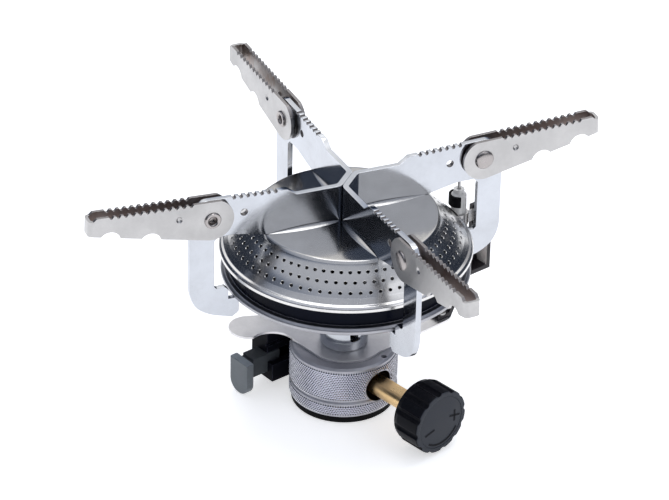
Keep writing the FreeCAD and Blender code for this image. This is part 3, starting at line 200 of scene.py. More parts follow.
# Other shapes that only the scene has: lengths in millimetres, angles in degrees
KNURL_BANDS = (("knurl_upper", 9.9, 23.0), ("knurl_lower", 3.3, 8.3))
KNURL_SUNK = 0.02
THREAD_FROM = 2.1
THREAD_TURNS = 6.5
THREAD_RIDGE = 0.32
LOBE_ANGLE = 6.0
LOBE_GROOVE = 1.4
LOBE_SOFT = 0.35
LOBE_STEPS = 24
LOBES_FROM = 11.0
KNOB_BORE_TO = 4.5
HOLE_LIP = 1.22
HOLE_SINK = 0.12
CELL_EDGE = ((-1, -1), (0, -1), (1, -1), (1, 0), (1, 1), (0, 1), (-1, 1), (-1, 0))
HOLE_POINTS = 2 * len(CELL_EDGE)
HOLE_START = -135.0
RIB_FROM = 4.6
RIB_TO = 32.5
RIB_SUNK = 0.1
RIB_END = 0.02
RIB_FULLNESS = 0.8
RIB_SLOPE = 1.4
RIB_STEPS = 24
RIB_ARC = 5
FOOT_OUT = 54.0
FOOT_TOP = 61.0
FOOT_EDGE_ACROSS = 1.5
FOOT_EDGE_ALONG = 0.1
FOOT_STEPS = 6
DOME_RADIUS = 3.7
DOME_HEIGHT = 1.2
DOME_CURVE = 0.8
DOME_STEPS = 6

# How shapes are made: merging distances in metres, angles in degrees, and steps round a turned shape
WELD = 0.000002
CAP_WELD = 0.000004
FLAT_ANGLE = 0.6
BEVEL_CORNER = 38.0
CREASE = 32.0
CAP_CREASE = 28.0
TURNED_CREASE = 40.0
FACE_STEPS = 96
BOWL_STEPS = 160
RIVET_STEPS = 48
FLOOR_STEPS = 96
FILLET_STEPS = 4
FILLET_SHARE = 0.48
POLE = 1e-6

# The stage, in metres: the lights' places and targets, and the limits of the light tent's parts
LIGHTS = (("roof", (0.16, 0.2, 1.4), (0, 0, 0.05)), ("side", (0.69, -1.11, 0.9), (0, 0, 0.08)))
LIGHT_SIZE = 0.85
CAMERA_TARGET = (-0.00067, 0.00941, 0.0588)
SENSOR_WIDTH = 36.0
BEHIND_RISE = 0.6
TENT_WALL = (0.48, 0.72, 0.05, 0.75)
TENT_GLOW = (0.80, 0.96, 0.0, 0.85)
TENT_GLOW_FROM = (0.3, 0.46)
TENT_CAMERA = (0.94, 0.975)
TENT_OPENING = (0.55, 0.62, 0.97, 0.0)
TENT_DIM = (0.55, 0.75, 1.2, 1.0)


# Settings

def length_setting(name, description, default):
    """A length that a user may change, in metres."""
    return FloatProperty(name=name, description=description, default=default, unit="LENGTH")


def count_setting(name, description, default, least):
    """A whole number that a user may change."""
    return IntProperty(name=name, description=description, default=default, min=least)


def angle_setting(name, description, degrees):
    """An angle that a user may change."""
    return FloatProperty(name=name, description=description, default=math.radians(degrees), subtype="ANGLE")


def colour_setting(name, description, default):
    """A colour that a user may change."""
    return FloatVectorProperty(name=name, description=description, subtype="COLOR", size=3,
                               min=0.0, max=1.0, default=default)


class StoveSizes(bpy.types.PropertyGroup):
    edge_round: length_setting("Edge rounding", "Soft edge on cut and pressed metal", 0.00022)
    moulded_round: length_setting("Moulded rounding", "Soft edge on moulded plastic", 0.00035)
    knurl_columns: count_setting("Knurl columns", "Diamonds round the valve base", 132, 12)
    knurl_rise: length_setting("Knurl height", "Height of one diamond", 0.00158)
    knurl_depth: length_setting("Knurl depth", "How far a diamond stands out", 0.0005)
    hole_columns: count_setting("Flame holes", "Holes in one row of the cap", 72, 12)
    hole_radius: length_setting("Hole radius", "Radius of a flame hole", 0.00062)
    thread_pitch: length_setting("Thread pitch", "Pitch of the cartridge socket's thread", 0.000907)
    mark_depth: length_setting("Mark height", "Height of the marks on the knob", 0.00012)
    knob_lobes: count_setting("Knob lobes", "Lobes round the knob", 12, 3)
    lobe_depth: length_setting("Lobe depth", "Depth of the grooves between the lobes", 0.00095)
    rib_width: length_setting("Rib width", "How far the cap's ribs show beside the arms", 0.0019)
    rib_height: length_setting("Rib height", "Height of the cap's ribs", 0.0008)
    foot_round: length_setting("Foot rounding", "Rounding of the legs' lower outer corners", 0.0026)


class StoveColours(bpy.types.PropertyGroup):
    zinc: colour_setting("Zinc", "Pot support sheets", (0.55, 0.565, 0.60))
    zinc_cloud: colour_setting("Zinc cloud", "Paler clouds in the zinc", (0.66, 0.69, 0.74))
    leaf_steel: colour_setting("Leaf steel", "Folding leaves", (0.53, 0.52, 0.515))
    cap_steel: colour_setting("Burner steel", "Burner cap", (0.57, 0.56, 0.55))
    bowl_steel: colour_setting("Bowl steel", "Rim and underside of the bowl", (0.42, 0.42, 0.445))
    bowl_dark: colour_setting("Bowl wall", "Wall between the burner's rims", (0.0025, 0.0035, 0.0085))
    chrome: colour_setting("Chrome", "Mixing tube and its socket", (0.58, 0.60, 0.63))
    plate_steel: colour_setting("Plate steel", "Bracket plate", (0.84, 0.825, 0.83))
    aluminium: colour_setting("Aluminium", "Valve base", (0.53, 0.53, 0.57))
    brass: colour_setting("Brass", "Spindle, jet and valve parts", (0.93, 0.65, 0.33))
    sintered: colour_setting("Sintered bronze", "Filter", (0.30, 0.19, 0.09))
    sintered_pores: colour_setting("Sintered pores", "Hollows between its grains", (0.12, 0.07, 0.03))
    black_plastic: colour_setting("Black plastic", "Knob and igniter", (0.0055, 0.006, 0.009))
    knob_face: colour_setting("Knob face", "Insert in the knob", (0.028, 0.032, 0.042))
    button_grey: colour_setting("Button grey", "Igniter's button", (0.145, 0.162, 0.176))
    rivet_steel: colour_setting("Rivet steel", "Rivets of the leaves", (0.42, 0.39, 0.38))
    washer_steel: colour_setting("Washer steel", "Spacer washers", (0.86, 0.85, 0.86))
    # Darker than the leaf steel: painted shade inside the leaves, warmed by tarnish
    tarnish: colour_setting("Tarnish", "Inside of the leaves", (0.40, 0.35, 0.34))
    tarnish_patch: colour_setting("Tarnish patches", "Brown patches there", (0.33, 0.24, 0.20))
    flame_patch: colour_setting("Flame patches", "Brown patches in the rear leaf", (0.24, 0.16, 0.125))
    # Dark: sheared edges, and painted shade in the notches of the teeth and in the small hole
    cut_metal: colour_setting("Cut metal", "Sheared edges", (0.36, 0.34, 0.335))
    # Dark: painted shade inside the port
    port: colour_setting("Port", "Inside of the valve's port", (0.07, 0.062, 0.06))
    rubber: colour_setting("Rubber", "Rings, seals, sleeve and lead", (0.004, 0.004, 0.005))
    bracket_black: colour_setting("Black coat", "Electrode's bracket", (0.018, 0.015, 0.018))
    # Pale: painted light on the inner face of the bracket's outer wall
    bracket_inside: colour_setting("Lit bracket wall", "Inside of its outer wall", (0.82, 0.74, 0.70))
    ceramic: colour_setting("Ceramic", "Electrode's insulator", (0.74, 0.73, 0.71))
    dust: colour_setting("Dust", "Dust on plastic and rubber", (0.30, 0.30, 0.31))
    metal_dust: colour_setting("Metal dust", "Dust on the valve base", (0.62, 0.62, 0.63))


class StageSettings(bpy.types.PropertyGroup):
    floor: colour_setting("Floor", "Pale floor", (0.93, 0.93, 0.93))
    floor_glow: FloatProperty(name="Floor glow", description="Light that comes through the floor", default=0.6)
    floor_radius: length_setting("Floor radius", "Size of the floor", 4.0)
    sky: FloatProperty(name="Sky", description="Strength of the soft light all round", default=1.0)
    roof: FloatProperty(name="Roof light", description="Light overhead", default=5.4, unit="POWER")
    side: FloatProperty(name="Side light", description="Light at the front right", default=2.2, unit="POWER")
    azimuth: angle_setting("Azimuth", "Camera's angle round the stove", -22.5)
    elevation: angle_setting("Elevation", "Camera's height above the horizon", 31.45)
    roll: angle_setting("Roll", "Camera's roll", 1.2)
    distance: length_setting("Distance", "From the camera to its target", 1.4)
    lens: FloatProperty(name="Lens", description="Focal length in millimetres", default=202.3)


SETTINGS = {"sizes": StoveSizes, "colours": StoveColours, "stage": StageSettings}


def settings(kind):
    """One group of settings of this scene."""
    return getattr(bpy.context.scene, "stove_" + kind)


# Node trees

def feed(tree, node, inputs):
    """Links sockets to a node's inputs, or sets the inputs' own values."""
    for name, value in inputs.items():
        if isinstance(value, bpy.types.NodeSocket):
            tree.links.new(value, node.inputs[name])
        else:
            node.inputs[name].default_value = value


def add(tree, kind, inputs=None, **properties):
    """A new node with these properties and inputs."""
    node = tree.nodes.new(kind)
    for name, value in properties.items():
        setattr(node, name, value)
    feed(tree, node, inputs or {})
    return node


def maths(tree, operation, *values, clamp=False):
    """The output of a Math node."""
    inputs = dict(enumerate(values))
    return add(tree, "ShaderNodeMath", inputs, operation=operation, use_clamp=clamp).outputs[0]


def combined(tree, x=0.0, y=0.0, z=0.0):
    """A vector of three values."""
    return add(tree, "ShaderNodeCombineXYZ", {0: x, 1: y, 2: z}).outputs[0]


def stretched(tree, vector, scale):
    """A vector times another, part by part."""
    return add(tree, "ShaderNodeVectorMath", {0: vector, 1: scale}, operation="MULTIPLY").outputs[0]


def likeness(tree, first, second):
    """The dot product of two vectors."""
    return add(tree, "ShaderNodeVectorMath", {0: first, 1: second}, operation="DOT_PRODUCT").outputs["Value"]


def remapped(tree, value, low, high, to_low=0.0, to_high=1.0):
    """A value moved from one range to another, and held inside it."""
    node = add(tree, "ShaderNodeMapRange", {
        "Value": value, "From Min": low, "From Max": high, "To Min": to_low, "To Max": to_high})
    return node.outputs["Result"]


def mixed(tree, share, first, second):
    """A mix of two colours: 0, 6 and 7 are a Mix node's factor and its colours."""
    return add(tree, "ShaderNodeMix", {0: share, 6: first, 7: second}, data_type="RGBA").outputs[2]


def noise(tree, vector, scale, detail=3.0, roughness=0.6):
    """The grey value of a Noise Texture."""
    return add(tree, "ShaderNodeTexNoise", {
        "Vector": vector, "Scale": scale, "Detail": detail, "Roughness": roughness}).outputs["Fac"]


def new_group(name, kind, inputs, outputs):
    """A node group with its sockets, and its input and output nodes."""
    tree = bpy.data.node_groups.new(name, kind)
    for side, sockets in (("INPUT", inputs), ("OUTPUT", outputs)):
        for label, socket_type, *default in sockets:
            socket = tree.interface.new_socket(label, in_out=side, socket_type="NodeSocket" + socket_type)
            if default:
                socket.default_value = default[0]
    return tree, tree.nodes.new("NodeGroupInput").outputs, tree.nodes.new("NodeGroupOutput")


def shader_group(name, output, **inputs):
    """A group that reads a Vector and these inputs, and gives one value over the surface."""
    sockets = [("Vector", "Vector")]
    for label, value in inputs.items():
        sockets.append((label, "Vector" if isinstance(value, tuple) else "Float", value))
    return new_group(name, "ShaderNodeTree", sockets, [(output, "Float")])


def geometry_group(name, **inputs):
    """A group that reads a geometry, these inputs and a material, and gives a geometry."""
    sockets = [("Geometry", "Geometry")]
    for label, value in inputs.items():
        sockets.append((label, "Int" if isinstance(value, int) else "Float", value))
    sockets.append(("Material", "Material"))
    return new_group(name, "GeometryNodeTree", sockets, [("Geometry", "Geometry")])


# Shader groups: each gives a mask or a height only

def turned_grain():
    """Fine rings about Z, as a lathe leaves them."""
    tree, given, result = shader_group("Turned grain", "Height", Fineness=4000.0)
    x, y, z = add(tree, "ShaderNodeSeparateXYZ", {0: given["Vector"]}).outputs
    squares = maths(tree, "ADD", maths(tree, "MULTIPLY", x, x), maths(tree, "MULTIPLY", y, y))
    radius = maths(tree, "SQRT", squares)
    around = maths(tree, "MULTIPLY", maths(tree, "ARCTAN2", y, x), 0.35)
    rings = combined(tree, maths(tree, "MULTIPLY", radius, given["Fineness"]),
                     maths(tree, "MULTIPLY", z, given["Fineness"]), around)
    feed(tree, result, {"Height": noise(tree, rings, 1.0)})
    return tree


def rolled_grain():
    """Straight grain along one direction, as rolled or brushed sheet has."""
    tree, given, result = shader_group("Rolled grain", "Height", Stretch=(200.0, 4000.0, 4000.0))
    feed(tree, result, {"Height": noise(tree, stretched(tree, given["Vector"], given["Stretch"]), 1.0)})
    return tree


def smudges():
    """Soft clouds of handling marks."""
    tree, given, result = shader_group("Smudges", "Mask", Scale=90.0)
    large = noise(tree, given["Vector"], given["Scale"], 4.0, 0.55)
    small = noise(tree, given["Vector"], maths(tree, "MULTIPLY", given["Scale"], 7.0), 2.0)
    both = maths(tree, "ADD", maths(tree, "MULTIPLY", large, 0.75), maths(tree, "MULTIPLY", small, 0.25))
    feed(tree, result, {"Mask": remapped(tree, both, 0.38, 0.62)})
    return tree


def scratches():
    """Thin random scratches in two directions."""
    tree, given, result = shader_group("Scratches", "Mask", Scale=160.0)
    masks = []
    for turn in ((0.3, 0.2, 0.6), (-0.5, 0.4, 2.1)):
        turned = add(tree, "ShaderNodeVectorRotate", {"Vector": given["Vector"], "Rotation": turn},
                     rotation_type="EULER_XYZ")
        lines = stretched(tree, turned.outputs[0], (0.25, 9.0, 9.0))
        masks.append(remapped(tree, noise(tree, lines, given["Scale"], 2.0, 0.7), 0.66, 0.72))
    feed(tree, result, {"Mask": maths(tree, "MAXIMUM", *masks)})
    return tree


def worn_edges():
    """Bright edges, where finish is rubbed off, and painted highlights where a finish tints them strongly."""
    tree, given, result = shader_group("Worn edges", "Mask", Width=0.0006, Break=700.0)
    soft = add(tree, "ShaderNodeBevel", {"Radius": given["Width"]}, samples=4)
    plain = add(tree, "ShaderNodeNewGeometry").outputs["Normal"]
    bend = maths(tree, "SUBTRACT", 1.0, likeness(tree, soft.outputs[0], plain))
    broken = remapped(tree, noise(tree, given["Vector"], given["Break"]), 0.3, 0.6)
    feed(tree, result, {"Mask": maths(tree, "MULTIPLY", remapped(tree, bend, 0.03, 0.2), broken)})
    return tree


def settled_dust():
    """Fine dust on faces that look up."""
    tree, given, result = shader_group("Settled dust", "Mask", Scale=1500.0)
    normal = add(tree, "ShaderNodeNewGeometry").outputs["Normal"]
    upward = remapped(tree, add(tree, "ShaderNodeSeparateXYZ", {0: normal}).outputs[2], 0.2, 1.0)
    specks = remapped(tree, noise(tree, given["Vector"], given["Scale"], 4.0, 0.7), 0.45, 0.7)
    feed(tree, result, {"Mask": maths(tree, "MULTIPLY", upward, specks)})
    return tree


def moulded_skin():
    """The fine spark-eroded skin of moulded plastic."""
    tree, given, result = shader_group("Moulded skin", "Height", Scale=3500.0)
    cells = add(tree, "ShaderNodeTexVoronoi", {"Vector": given["Vector"], "Scale": given["Scale"]},
                feature="SMOOTH_F1")
    grain = noise(tree, given["Vector"], given["Scale"], 2.0, 0.5)
    feed(tree, result, {"Height": maths(tree, "MULTIPLY", cells.outputs["Distance"], grain)})
    return tree


SHADER_GROUPS = {
    "Turned grain": turned_grain, "Rolled grain": rolled_grain, "Smudges": smudges, "Scratches": scratches,
    "Worn edges": worn_edges, "Settled dust": settled_dust, "Moulded skin": moulded_skin,
}


# Materials

class Finish:
    """A material under construction: its surface shader, Object coordinates and the groups placed in it."""

    def __init__(self, name, colour, roughness, metallic=0.0):
        self.material = bpy.data.materials.new(name)
        self.material.use_nodes = True
        self.material.diffuse_color = (*colour, 1.0)
        self.tree = self.material.node_tree
        self.tree.nodes.clear()
        self.surface = add(self.tree, "ShaderNodeBsdfPrincipled", {"Metallic": metallic})
        add(self.tree, "ShaderNodeOutputMaterial", {"Surface": self.surface.outputs[0]})
        self.place = add(self.tree, "ShaderNodeTexCoord").outputs["Object"]
        self.colour = (*colour, 1.0)
        self.roughness = roughness
        self.height = None

    def turned_to(self, origin, rotation):
        """Object coordinates moved and turned to a piece's own axis."""
        self.place = add(self.tree, "ShaderNodeMapping", {
            "Vector": self.place, "Location": origin, "Rotation": rotation}, vector_type="TEXTURE").outputs[0]

    def group(self, name, **values):
        """Places a shader group and returns its output."""
        tree = bpy.data.node_groups.get(name) or SHADER_GROUPS[name]()
        return add(self.tree, "ShaderNodeGroup", {"Vector": self.place, **values}, node_tree=tree).outputs[0]

    def tint(self, mask, colour, share):
        """Mixes a colour in where the mask is light."""
        part = maths(self.tree, "MULTIPLY", mask, share)
        self.colour = mixed(self.tree, part, self.colour, (*colour, 1.0))

    def roughen(self, mask, amount):
        """Adds to the roughness where the mask is light."""
        part = maths(self.tree, "MULTIPLY", mask, amount)
        self.roughness = maths(self.tree, "ADD", self.roughness, part, clamp=True)

    def emboss(self, height, depth):
        """Adds a height, in metres, to the surface's relief."""
        part = maths(self.tree, "MULTIPLY", height, depth)
        self.height = part if self.height is None else maths(self.tree, "ADD", self.height, part)

    def done(self, **constants):
        """Links what was gathered to the surface, and sets plain values on its own sockets."""
        inputs = {"Base Color": self.colour, "Roughness": self.roughness, **constants}
        if self.height is not None:
            bump = add(self.tree, "ShaderNodeBump", {"Distance": 1.0, "Height": self.height})
            inputs["Normal"] = bump.outputs[0]
        feed(self.tree, self.surface, inputs)
        return self.material


def shade(colour, factor):
    """A colour made lighter or darker."""
    return tuple(min(1.0, part * factor) for part in colour)


def tone(name, factor=1.0):
    """A colour of the settings, made lighter or darker."""
    return shade(getattr(settings("colours"), name), factor)


def metal(name, colour, roughness, grain=None, relief=0.0, smudge=0.1, scratch=0.08, place=None, patches=None,
          **values):
    """A metal with its grain, handling marks, scratches, brighter edges and any patches."""
    made = Finish(name, colour, roughness, metallic=1.0)
    if place:
        made.turned_to(*place)
    clouds = made.group("Smudges")
    made.tint(clouds, shade(colour, 0.82), 0.5)
    made.roughen(clouds, smudge)
    if grain:
        lines = made.group(grain, **values)
        made.tint(lines, shade(colour, 0.8), 0.35)
        made.roughen(lines, smudge)
        made.emboss(lines, relief)
    marks = made.group("Scratches")
    made.tint(marks, shade(colour, 1.3), scratch)
    made.roughen(marks, scratch)
    made.tint(made.group("Worn edges"), shade(colour, 1.25), 0.7)
    if patches:
        scale, patch, factor, share = patches
        made.tint(made.group("Smudges", Scale=scale), tone(patch, factor), share)
    return made


# The valve's axis for a Mapping node: its origin, and the turn that lays Z along it
VALVE_AXIS = (0.0, 0.0, VALVE_Z * MM), (0.0, math.radians(90), math.radians(KNOB_ANGLE))
LEAF_GRAIN = (900.0, 900.0, 5200.0)
ROLLED = "Rolled grain"
TURNED = "Turned grain"

# Label, colour, its factor, roughness, grain, the grain's relief in metres, and what else metal() takes
METALS = {
    # Bright zinc plating: bluish, faintly clouded, with the rolled grain showing through
    "zinc": ("Zinc plating", "zinc", 1.0, 0.085, ROLLED, 6e-7,
             {"smudge": 0.04, "Stretch": (700.0, 700.0, 5200.0), "patches": (35.0, "zinc_cloud", 1.0, 0.35)}),
    # Nickel-bright spring steel of the leaves, slightly warm
    "leaf": ("Leaf steel", "leaf_steel", 1.0, 0.24, ROLLED, 1.4e-6, {"Stretch": LEAF_GRAIN}),
    # The leaves' inside: darker as painted shade, and browned by the flame in patches
    "tarnished": ("Tarnished steel", "tarnish", 1.0, 0.38, ROLLED, 1.4e-6,
                  {"Stretch": LEAF_GRAIN, "patches": (210.0, "tarnish_patch", 1.0, 0.5)}),
    # The rear leaf's inside: bare steel made darker as painted shade, with brown patches from the flame
    "faded_and_shaded": ("Browned steel", "leaf_steel", 0.85, 0.3, ROLLED, 1.4e-6,
              {"Stretch": LEAF_GRAIN, "patches": (95.0, "flame_patch", 1.0, 0.85)}),
    # The valve's port inside: bored, and dark as painted shade in the bore
    "port": ("Port", "port", 1.0, 0.3, TURNED, 2e-6, {"place": VALVE_AXIS, "Fineness": 2400.0}),
    # Polished stainless with faint spinning rings
    "cap": ("Burner steel", "cap_steel", 1.0, 0.19, TURNED, 6e-7, {"smudge": 0.03, "Fineness": 5200.0}),
    # The cap's rolled rim, 1.3 times lighter as a painted highlight
    "rim": ("Burner rim", "cap_steel", 1.3, 0.2, TURNED, 6e-7, {"smudge": 0.03, "Fineness": 5200.0}),
    # The cap's flat disc: brushed one way and nearly a mirror
    "disc": ("Burner disc", "cap_steel", 0.92, 0.10, ROLLED, 5e-7,
             {"smudge": 0.03, "Stretch": (350.0, 6000.0, 350.0)}),
    # Heat-dulled stainless of the bowl
    "bowl": ("Bowl steel", "bowl_steel", 1.0, 0.26, TURNED, 8e-7, {"Fineness": 3200.0}),
    # Bright chrome on turned brass
    "chrome": ("Chrome", "chrome", 1.0, 0.07, TURNED, 3e-7, {"smudge": 0.03, "Fineness": 3500.0}),
    # Tumbled sheet steel of the bracket plate
    "plate": ("Plate steel", "plate_steel", 1.0, 0.34, ROLLED, 1e-6, {"Stretch": (4000.0, 600.0, 4000.0)}),
    # Drawn and turned brass, a little tarnished
    "brass": ("Brass", "brass", 1.0, 0.3, TURNED, 1.5e-6,
              {"Fineness": 2400.0, "patches": (160.0, "brass", 0.7, 0.4)}),
    # The spindle's and the gland nut's brass, turned bright about the valve's axis
    "spindle": ("Spindle brass", "brass", 1.0, 0.2, TURNED, 2e-7,
                {"place": VALVE_AXIS, "Fineness": 2400.0, "patches": (160.0, "brass", 0.7, 0.4)}),
    # Bright steel of screws, clips and small rivets
    "steel": ("Bright steel", "leaf_steel", 0.92, 0.25, None, 0.0, {"smudge": 0.08, "scratch": 0.15}),
    # The leaf rivets' steel, a little browned
    "rivet": ("Rivet steel", "rivet_steel", 1.0, 0.24, None, 0.0, {"smudge": 0.08, "scratch": 0.12}),
    # The spacer washers' steel: matt and pale
    "washer": ("Washer steel", "washer_steel", 1.0, 0.36, None, 0.0, {"smudge": 0.08, "scratch": 0.1}),
}


def plastic(name, colour, roughness, skin=0.00002, gloss=0.08, edge=2.4, dust=0.03):
    """Moulded plastic with its skin, lighter edges and a little dust: the edges are rubbed, and with a large
    edge factor they carry a painted highlight.
    """
    made = Finish(name, colour, roughness)
    clouds = made.group("Smudges", Scale=120.0)
    made.tint(clouds, shade(colour, 1.35), 0.5)
    made.roughen(clouds, 0.1)
    made.emboss(made.group("Moulded skin"), skin)
    made.tint(made.group("Worn edges", Width=0.0005), shade(colour, edge), 0.45)
    made.tint(made.group("Settled dust"), tone("dust"), dust)
    return made.done(**{"Specular IOR Level": gloss})


# Label, colour, its factor, roughness, and what else plastic() takes
PLASTICS = {
    # The knob: black, satin and a little dusty
    "black": ("Black plastic", "black_plastic", 1.0, 0.36, {}),
    # The igniter's housing: matt, with its edges painted pale as a highlight
    "housing": ("Igniter plastic", "black_plastic", 1.0, 0.36, {"gloss": 0.03, "edge": 26.0, "dust": 0.0}),
    # The insert in the knob: slate, with a coarser skin
    "knob_face": ("Knob face", "knob_face", 1.0, 0.5, {"skin": 0.00004, "gloss": 0.25}),
    # The igniter's button
    "button": ("Button plastic", "button_grey", 1.0, 0.42, {"gloss": 0.3}),
    # The button's top: lighter as painted light from above, and matt
    "button_top_lit": ("Button's top", "button_grey", 2.1, 0.6, {"skin": 0.00006, "gloss": 0.3}),
    # The button's shank: darker as painted shade where it enters the housing
    "button_shank_shade": ("Button's shank", "button_grey", 0.42, 0.5, {"gloss": 0.1}),
    # Rings, seals, sleeve and lead
    "rubber": ("Rubber", "rubber", 1.0, 0.55, {"skin": 0.00003}),
    # The black coat of the electrode's bracket
    "bracket": ("Black coat", "bracket_black", 1.0, 0.3, {"gloss": 0.3}),
    # The pale inside of its outer wall: painted light from the floor
    "bracket_inside": ("Bare coat", "bracket_inside", 1.0, 0.4, {"gloss": 0.3, "edge": 1.6}),
}


def cut_finish():
    """Sheared edges: dull, dark and a little torn; the same dark finish is painted shade in the support
    sheets' notches and small hole.
    """
    made = Finish("Cut edge", tone("cut_metal"), 0.5, metallic=1.0)
    tears = made.group(ROLLED, Stretch=(2500.0, 2500.0, 300.0))
    made.tint(tears, tone("cut_metal", 0.5), 0.6)
    made.emboss(tears, 0.00003)
    return made.done()


def bowl_wall_finish():
    """The dark heat-proof coat on the bowl's wall."""
    made = Finish("Bowl wall", tone("bowl_dark"), 0.22)
    clouds = made.group("Smudges", Scale=60.0)
    made.tint(clouds, tone("bowl_dark", 2.2), 0.6)
    made.roughen(clouds, 0.12)
    made.emboss(made.group(TURNED, Fineness=2500.0), 0.000002)
    return made.done(**{"Specular IOR Level": 0.05})


def aluminium_finish():
    """Matt anodised aluminium, turned."""
    made = metal("Aluminium", tone("aluminium"), 0.42, TURNED, 1.5e-6, smudge=0.12, Fineness=2600.0)
    made.tint(made.group("Settled dust"), tone("metal_dust"), 0.2)
    return made.done()


def knurl_finish():
    """The knurl's aluminium: cut bright, so that its diamonds catch the light."""
    made = Finish("Knurled aluminium", tone("aluminium", 1.45), 0.18, metallic=1.0)
    clouds = made.group("Smudges", Scale=45.0)
    made.tint(clouds, tone("aluminium", 1.3), 0.4)
    made.roughen(clouds, 0.06)
    return made.done()


def sintered_finish():
    """Sintered bronze of the filter."""
    made = Finish("Sintered bronze", tone("sintered"), 0.6, metallic=1.0)
    grains = made.group("Moulded skin", Scale=6000.0)
    made.tint(grains, tone("sintered_pores"), 0.7)
    made.emboss(grains, 0.00008)
    return made.done()


def ceramic_finish():
    """Glazed white ceramic with a faint warm cloud."""
    made = Finish("Glazed ceramic", tone("ceramic"), 0.12)
    made.tint(made.group("Smudges", Scale=150.0), tone("ceramic", 0.86), 0.5)
    made.roughen(made.group("Smudges", Scale=260.0), 0.1)
    return made.done(**{"Coat Weight": 0.6, "Coat Roughness": 0.06})


OTHERS = {
    "cut": cut_finish, "bowl_wall": bowl_wall_finish, "aluminium": aluminium_finish, "knurl": knurl_finish,
    "sintered": sintered_finish, "ceramic": ceramic_finish,
}
MADE = {}


def finish(name):
    """A finish of this stove, made when it is first asked for."""
    if name not in MADE and name in METALS:
        label, colour, factor, roughness, grain, relief, rest = METALS[name]
        MADE[name] = metal(label, tone(colour, factor), roughness, grain, relief, **rest).done()
    elif name not in MADE and name in PLASTICS:
        label, colour, factor, roughness, rest = PLASTICS[name]
        MADE[name] = plastic(label, tone(colour, factor), roughness, **rest)
    elif name not in MADE:
        MADE[name] = OTHERS[name]()
    return MADE[name]


# Geometry trees

def painted(tree, given, result, geometry):
    """Gives a geometry its material and puts it out."""
    node = add(tree, "GeometryNodeSetMaterial", {"Geometry": geometry, "Material": given["Material"]})
    feed(tree, result, {"Geometry": node.outputs[0]})
    return tree


def placed_copies(tree, given, result, count, place, rotation):
    """Puts the geometry at points, joins the copies and gives them their material."""
    points = add(tree, "GeometryNodePoints", {"Count": count}).outputs[0]
    points = add(tree, "GeometryNodeSetPosition", {"Geometry": points, "Position": place}).outputs[0]
    copies = add(tree, "GeometryNodeInstanceOnPoints", {
        "Points": points, "Instance": given["Geometry"], "Rotation": rotation}).outputs[0]
    joined = add(tree, "GeometryNodeRealizeInstances", {"Geometry": copies}).outputs[0]
    merged = add(tree, "GeometryNodeMergeByDistance", {"Geometry": joined, "Distance": WELD}).outputs[0]
    return painted(tree, given, result, merged)


def copies_round():
    """Copies in rows round Z; every second row may be staggered."""
    tree, given, result = geometry_group("Copies round an axis", Columns=24, Rows=1, Rise=0.0, Stagger=0.0)
    columns = given["Columns"]
    index = add(tree, "GeometryNodeInputIndex").outputs[0]
    column = maths(tree, "MODULO", index, columns)
    row = maths(tree, "FLOOR", maths(tree, "DIVIDE", index, columns))
    shift = maths(tree, "MULTIPLY", maths(tree, "MODULO", row, 2.0), given["Stagger"])
    step = maths(tree, "DIVIDE", 2 * math.pi, columns)
    angle = maths(tree, "MULTIPLY", maths(tree, "ADD", column, shift), step)
    height = maths(tree, "MULTIPLY", row, given["Rise"])
    count = maths(tree, "MULTIPLY", columns, given["Rows"])
    return placed_copies(tree, given, result, count, combined(tree, z=height), combined(tree, z=angle))


def copies_on_arms():
    """Copies on the four arms, drawn with X outwards."""
    tree, given, result = geometry_group(
        "Copies on the arms", Skew=0.0, Outwards=0.05, Aside=0.0, Height=0.09, Tilt=0.0)
    index = add(tree, "GeometryNodeInputIndex").outputs[0]
    odd = maths(tree, "MODULO", index, 2.0)
    skew = maths(tree, "MULTIPLY", odd, given["Skew"])
    angle = maths(tree, "ADD", maths(tree, "MULTIPLY", index, math.pi / 2), skew)
    side = maths(tree, "SUBTRACT", 1.0, maths(tree, "MULTIPLY", odd, 2.0))
    start = combined(tree, given["Outwards"], maths(tree, "MULTIPLY", side, given["Aside"]), given["Height"])
    place = add(tree, "ShaderNodeVectorRotate", {"Vector": start, "Angle": angle}, rotation_type="Z_AXIS")
    tilt = maths(tree, "MULTIPLY", given["Tilt"], -1.0)
    return placed_copies(tree, given, result, len(ARMS), place.outputs[0], combined(tree, y=tilt, z=angle))


def thread_ridge():
    """The ridge of a thread about Z, from its radius, pitch and turns."""
    tree, given, result = geometry_group(
        "Thread ridge", Radius=0.005, Pitch=0.0009, Turns=7.0, Start=0.0, Ridge=0.0003)
    line = add(tree, "GeometryNodeCurveSpiral", {
        "Resolution": 40, "Rotations": given["Turns"], "Start Radius": given["Radius"],
        "End Radius": given["Radius"], "Height": maths(tree, "MULTIPLY", given["Turns"], given["Pitch"])})
    section = add(tree, "GeometryNodeCurvePrimitiveCircle", {"Resolution": 4, "Radius": given["Ridge"]})
    swept = add(tree, "GeometryNodeCurveToMesh", {
        "Curve": line.outputs[0], "Profile Curve": section.outputs[0], "Fill Caps": True})
    raised = add(tree, "GeometryNodeTransform", {
        "Geometry": swept.outputs[0], "Translation": combined(tree, z=given["Start"])})
    joined = add(tree, "GeometryNodeRealizeInstances", {"Geometry": raised.outputs[0]})
    return painted(tree, given, result, joined.outputs[0])


GEOMETRY_GROUPS = {
    "Copies round an axis": copies_round, "Copies on the arms": copies_on_arms, "Thread ridge": thread_ridge,
}


# Shapes

def near_arm(point):
    """The angle of the arm that a point belongs to."""
    return max((angle for _, angle, _ in ARMS), key=lambda angle: on_arm(point, angle)[0])


def on_valve():
    """The matrix that lays a shape drawn about Z on the valve's axis."""
    return (Matrix.Translation((0, 0, VALVE_Z * MM)) @ Matrix.Rotation(math.radians(KNOB_ANGLE), 4, "Z")
            @ Matrix.Rotation(math.radians(90), 4, "Y"))


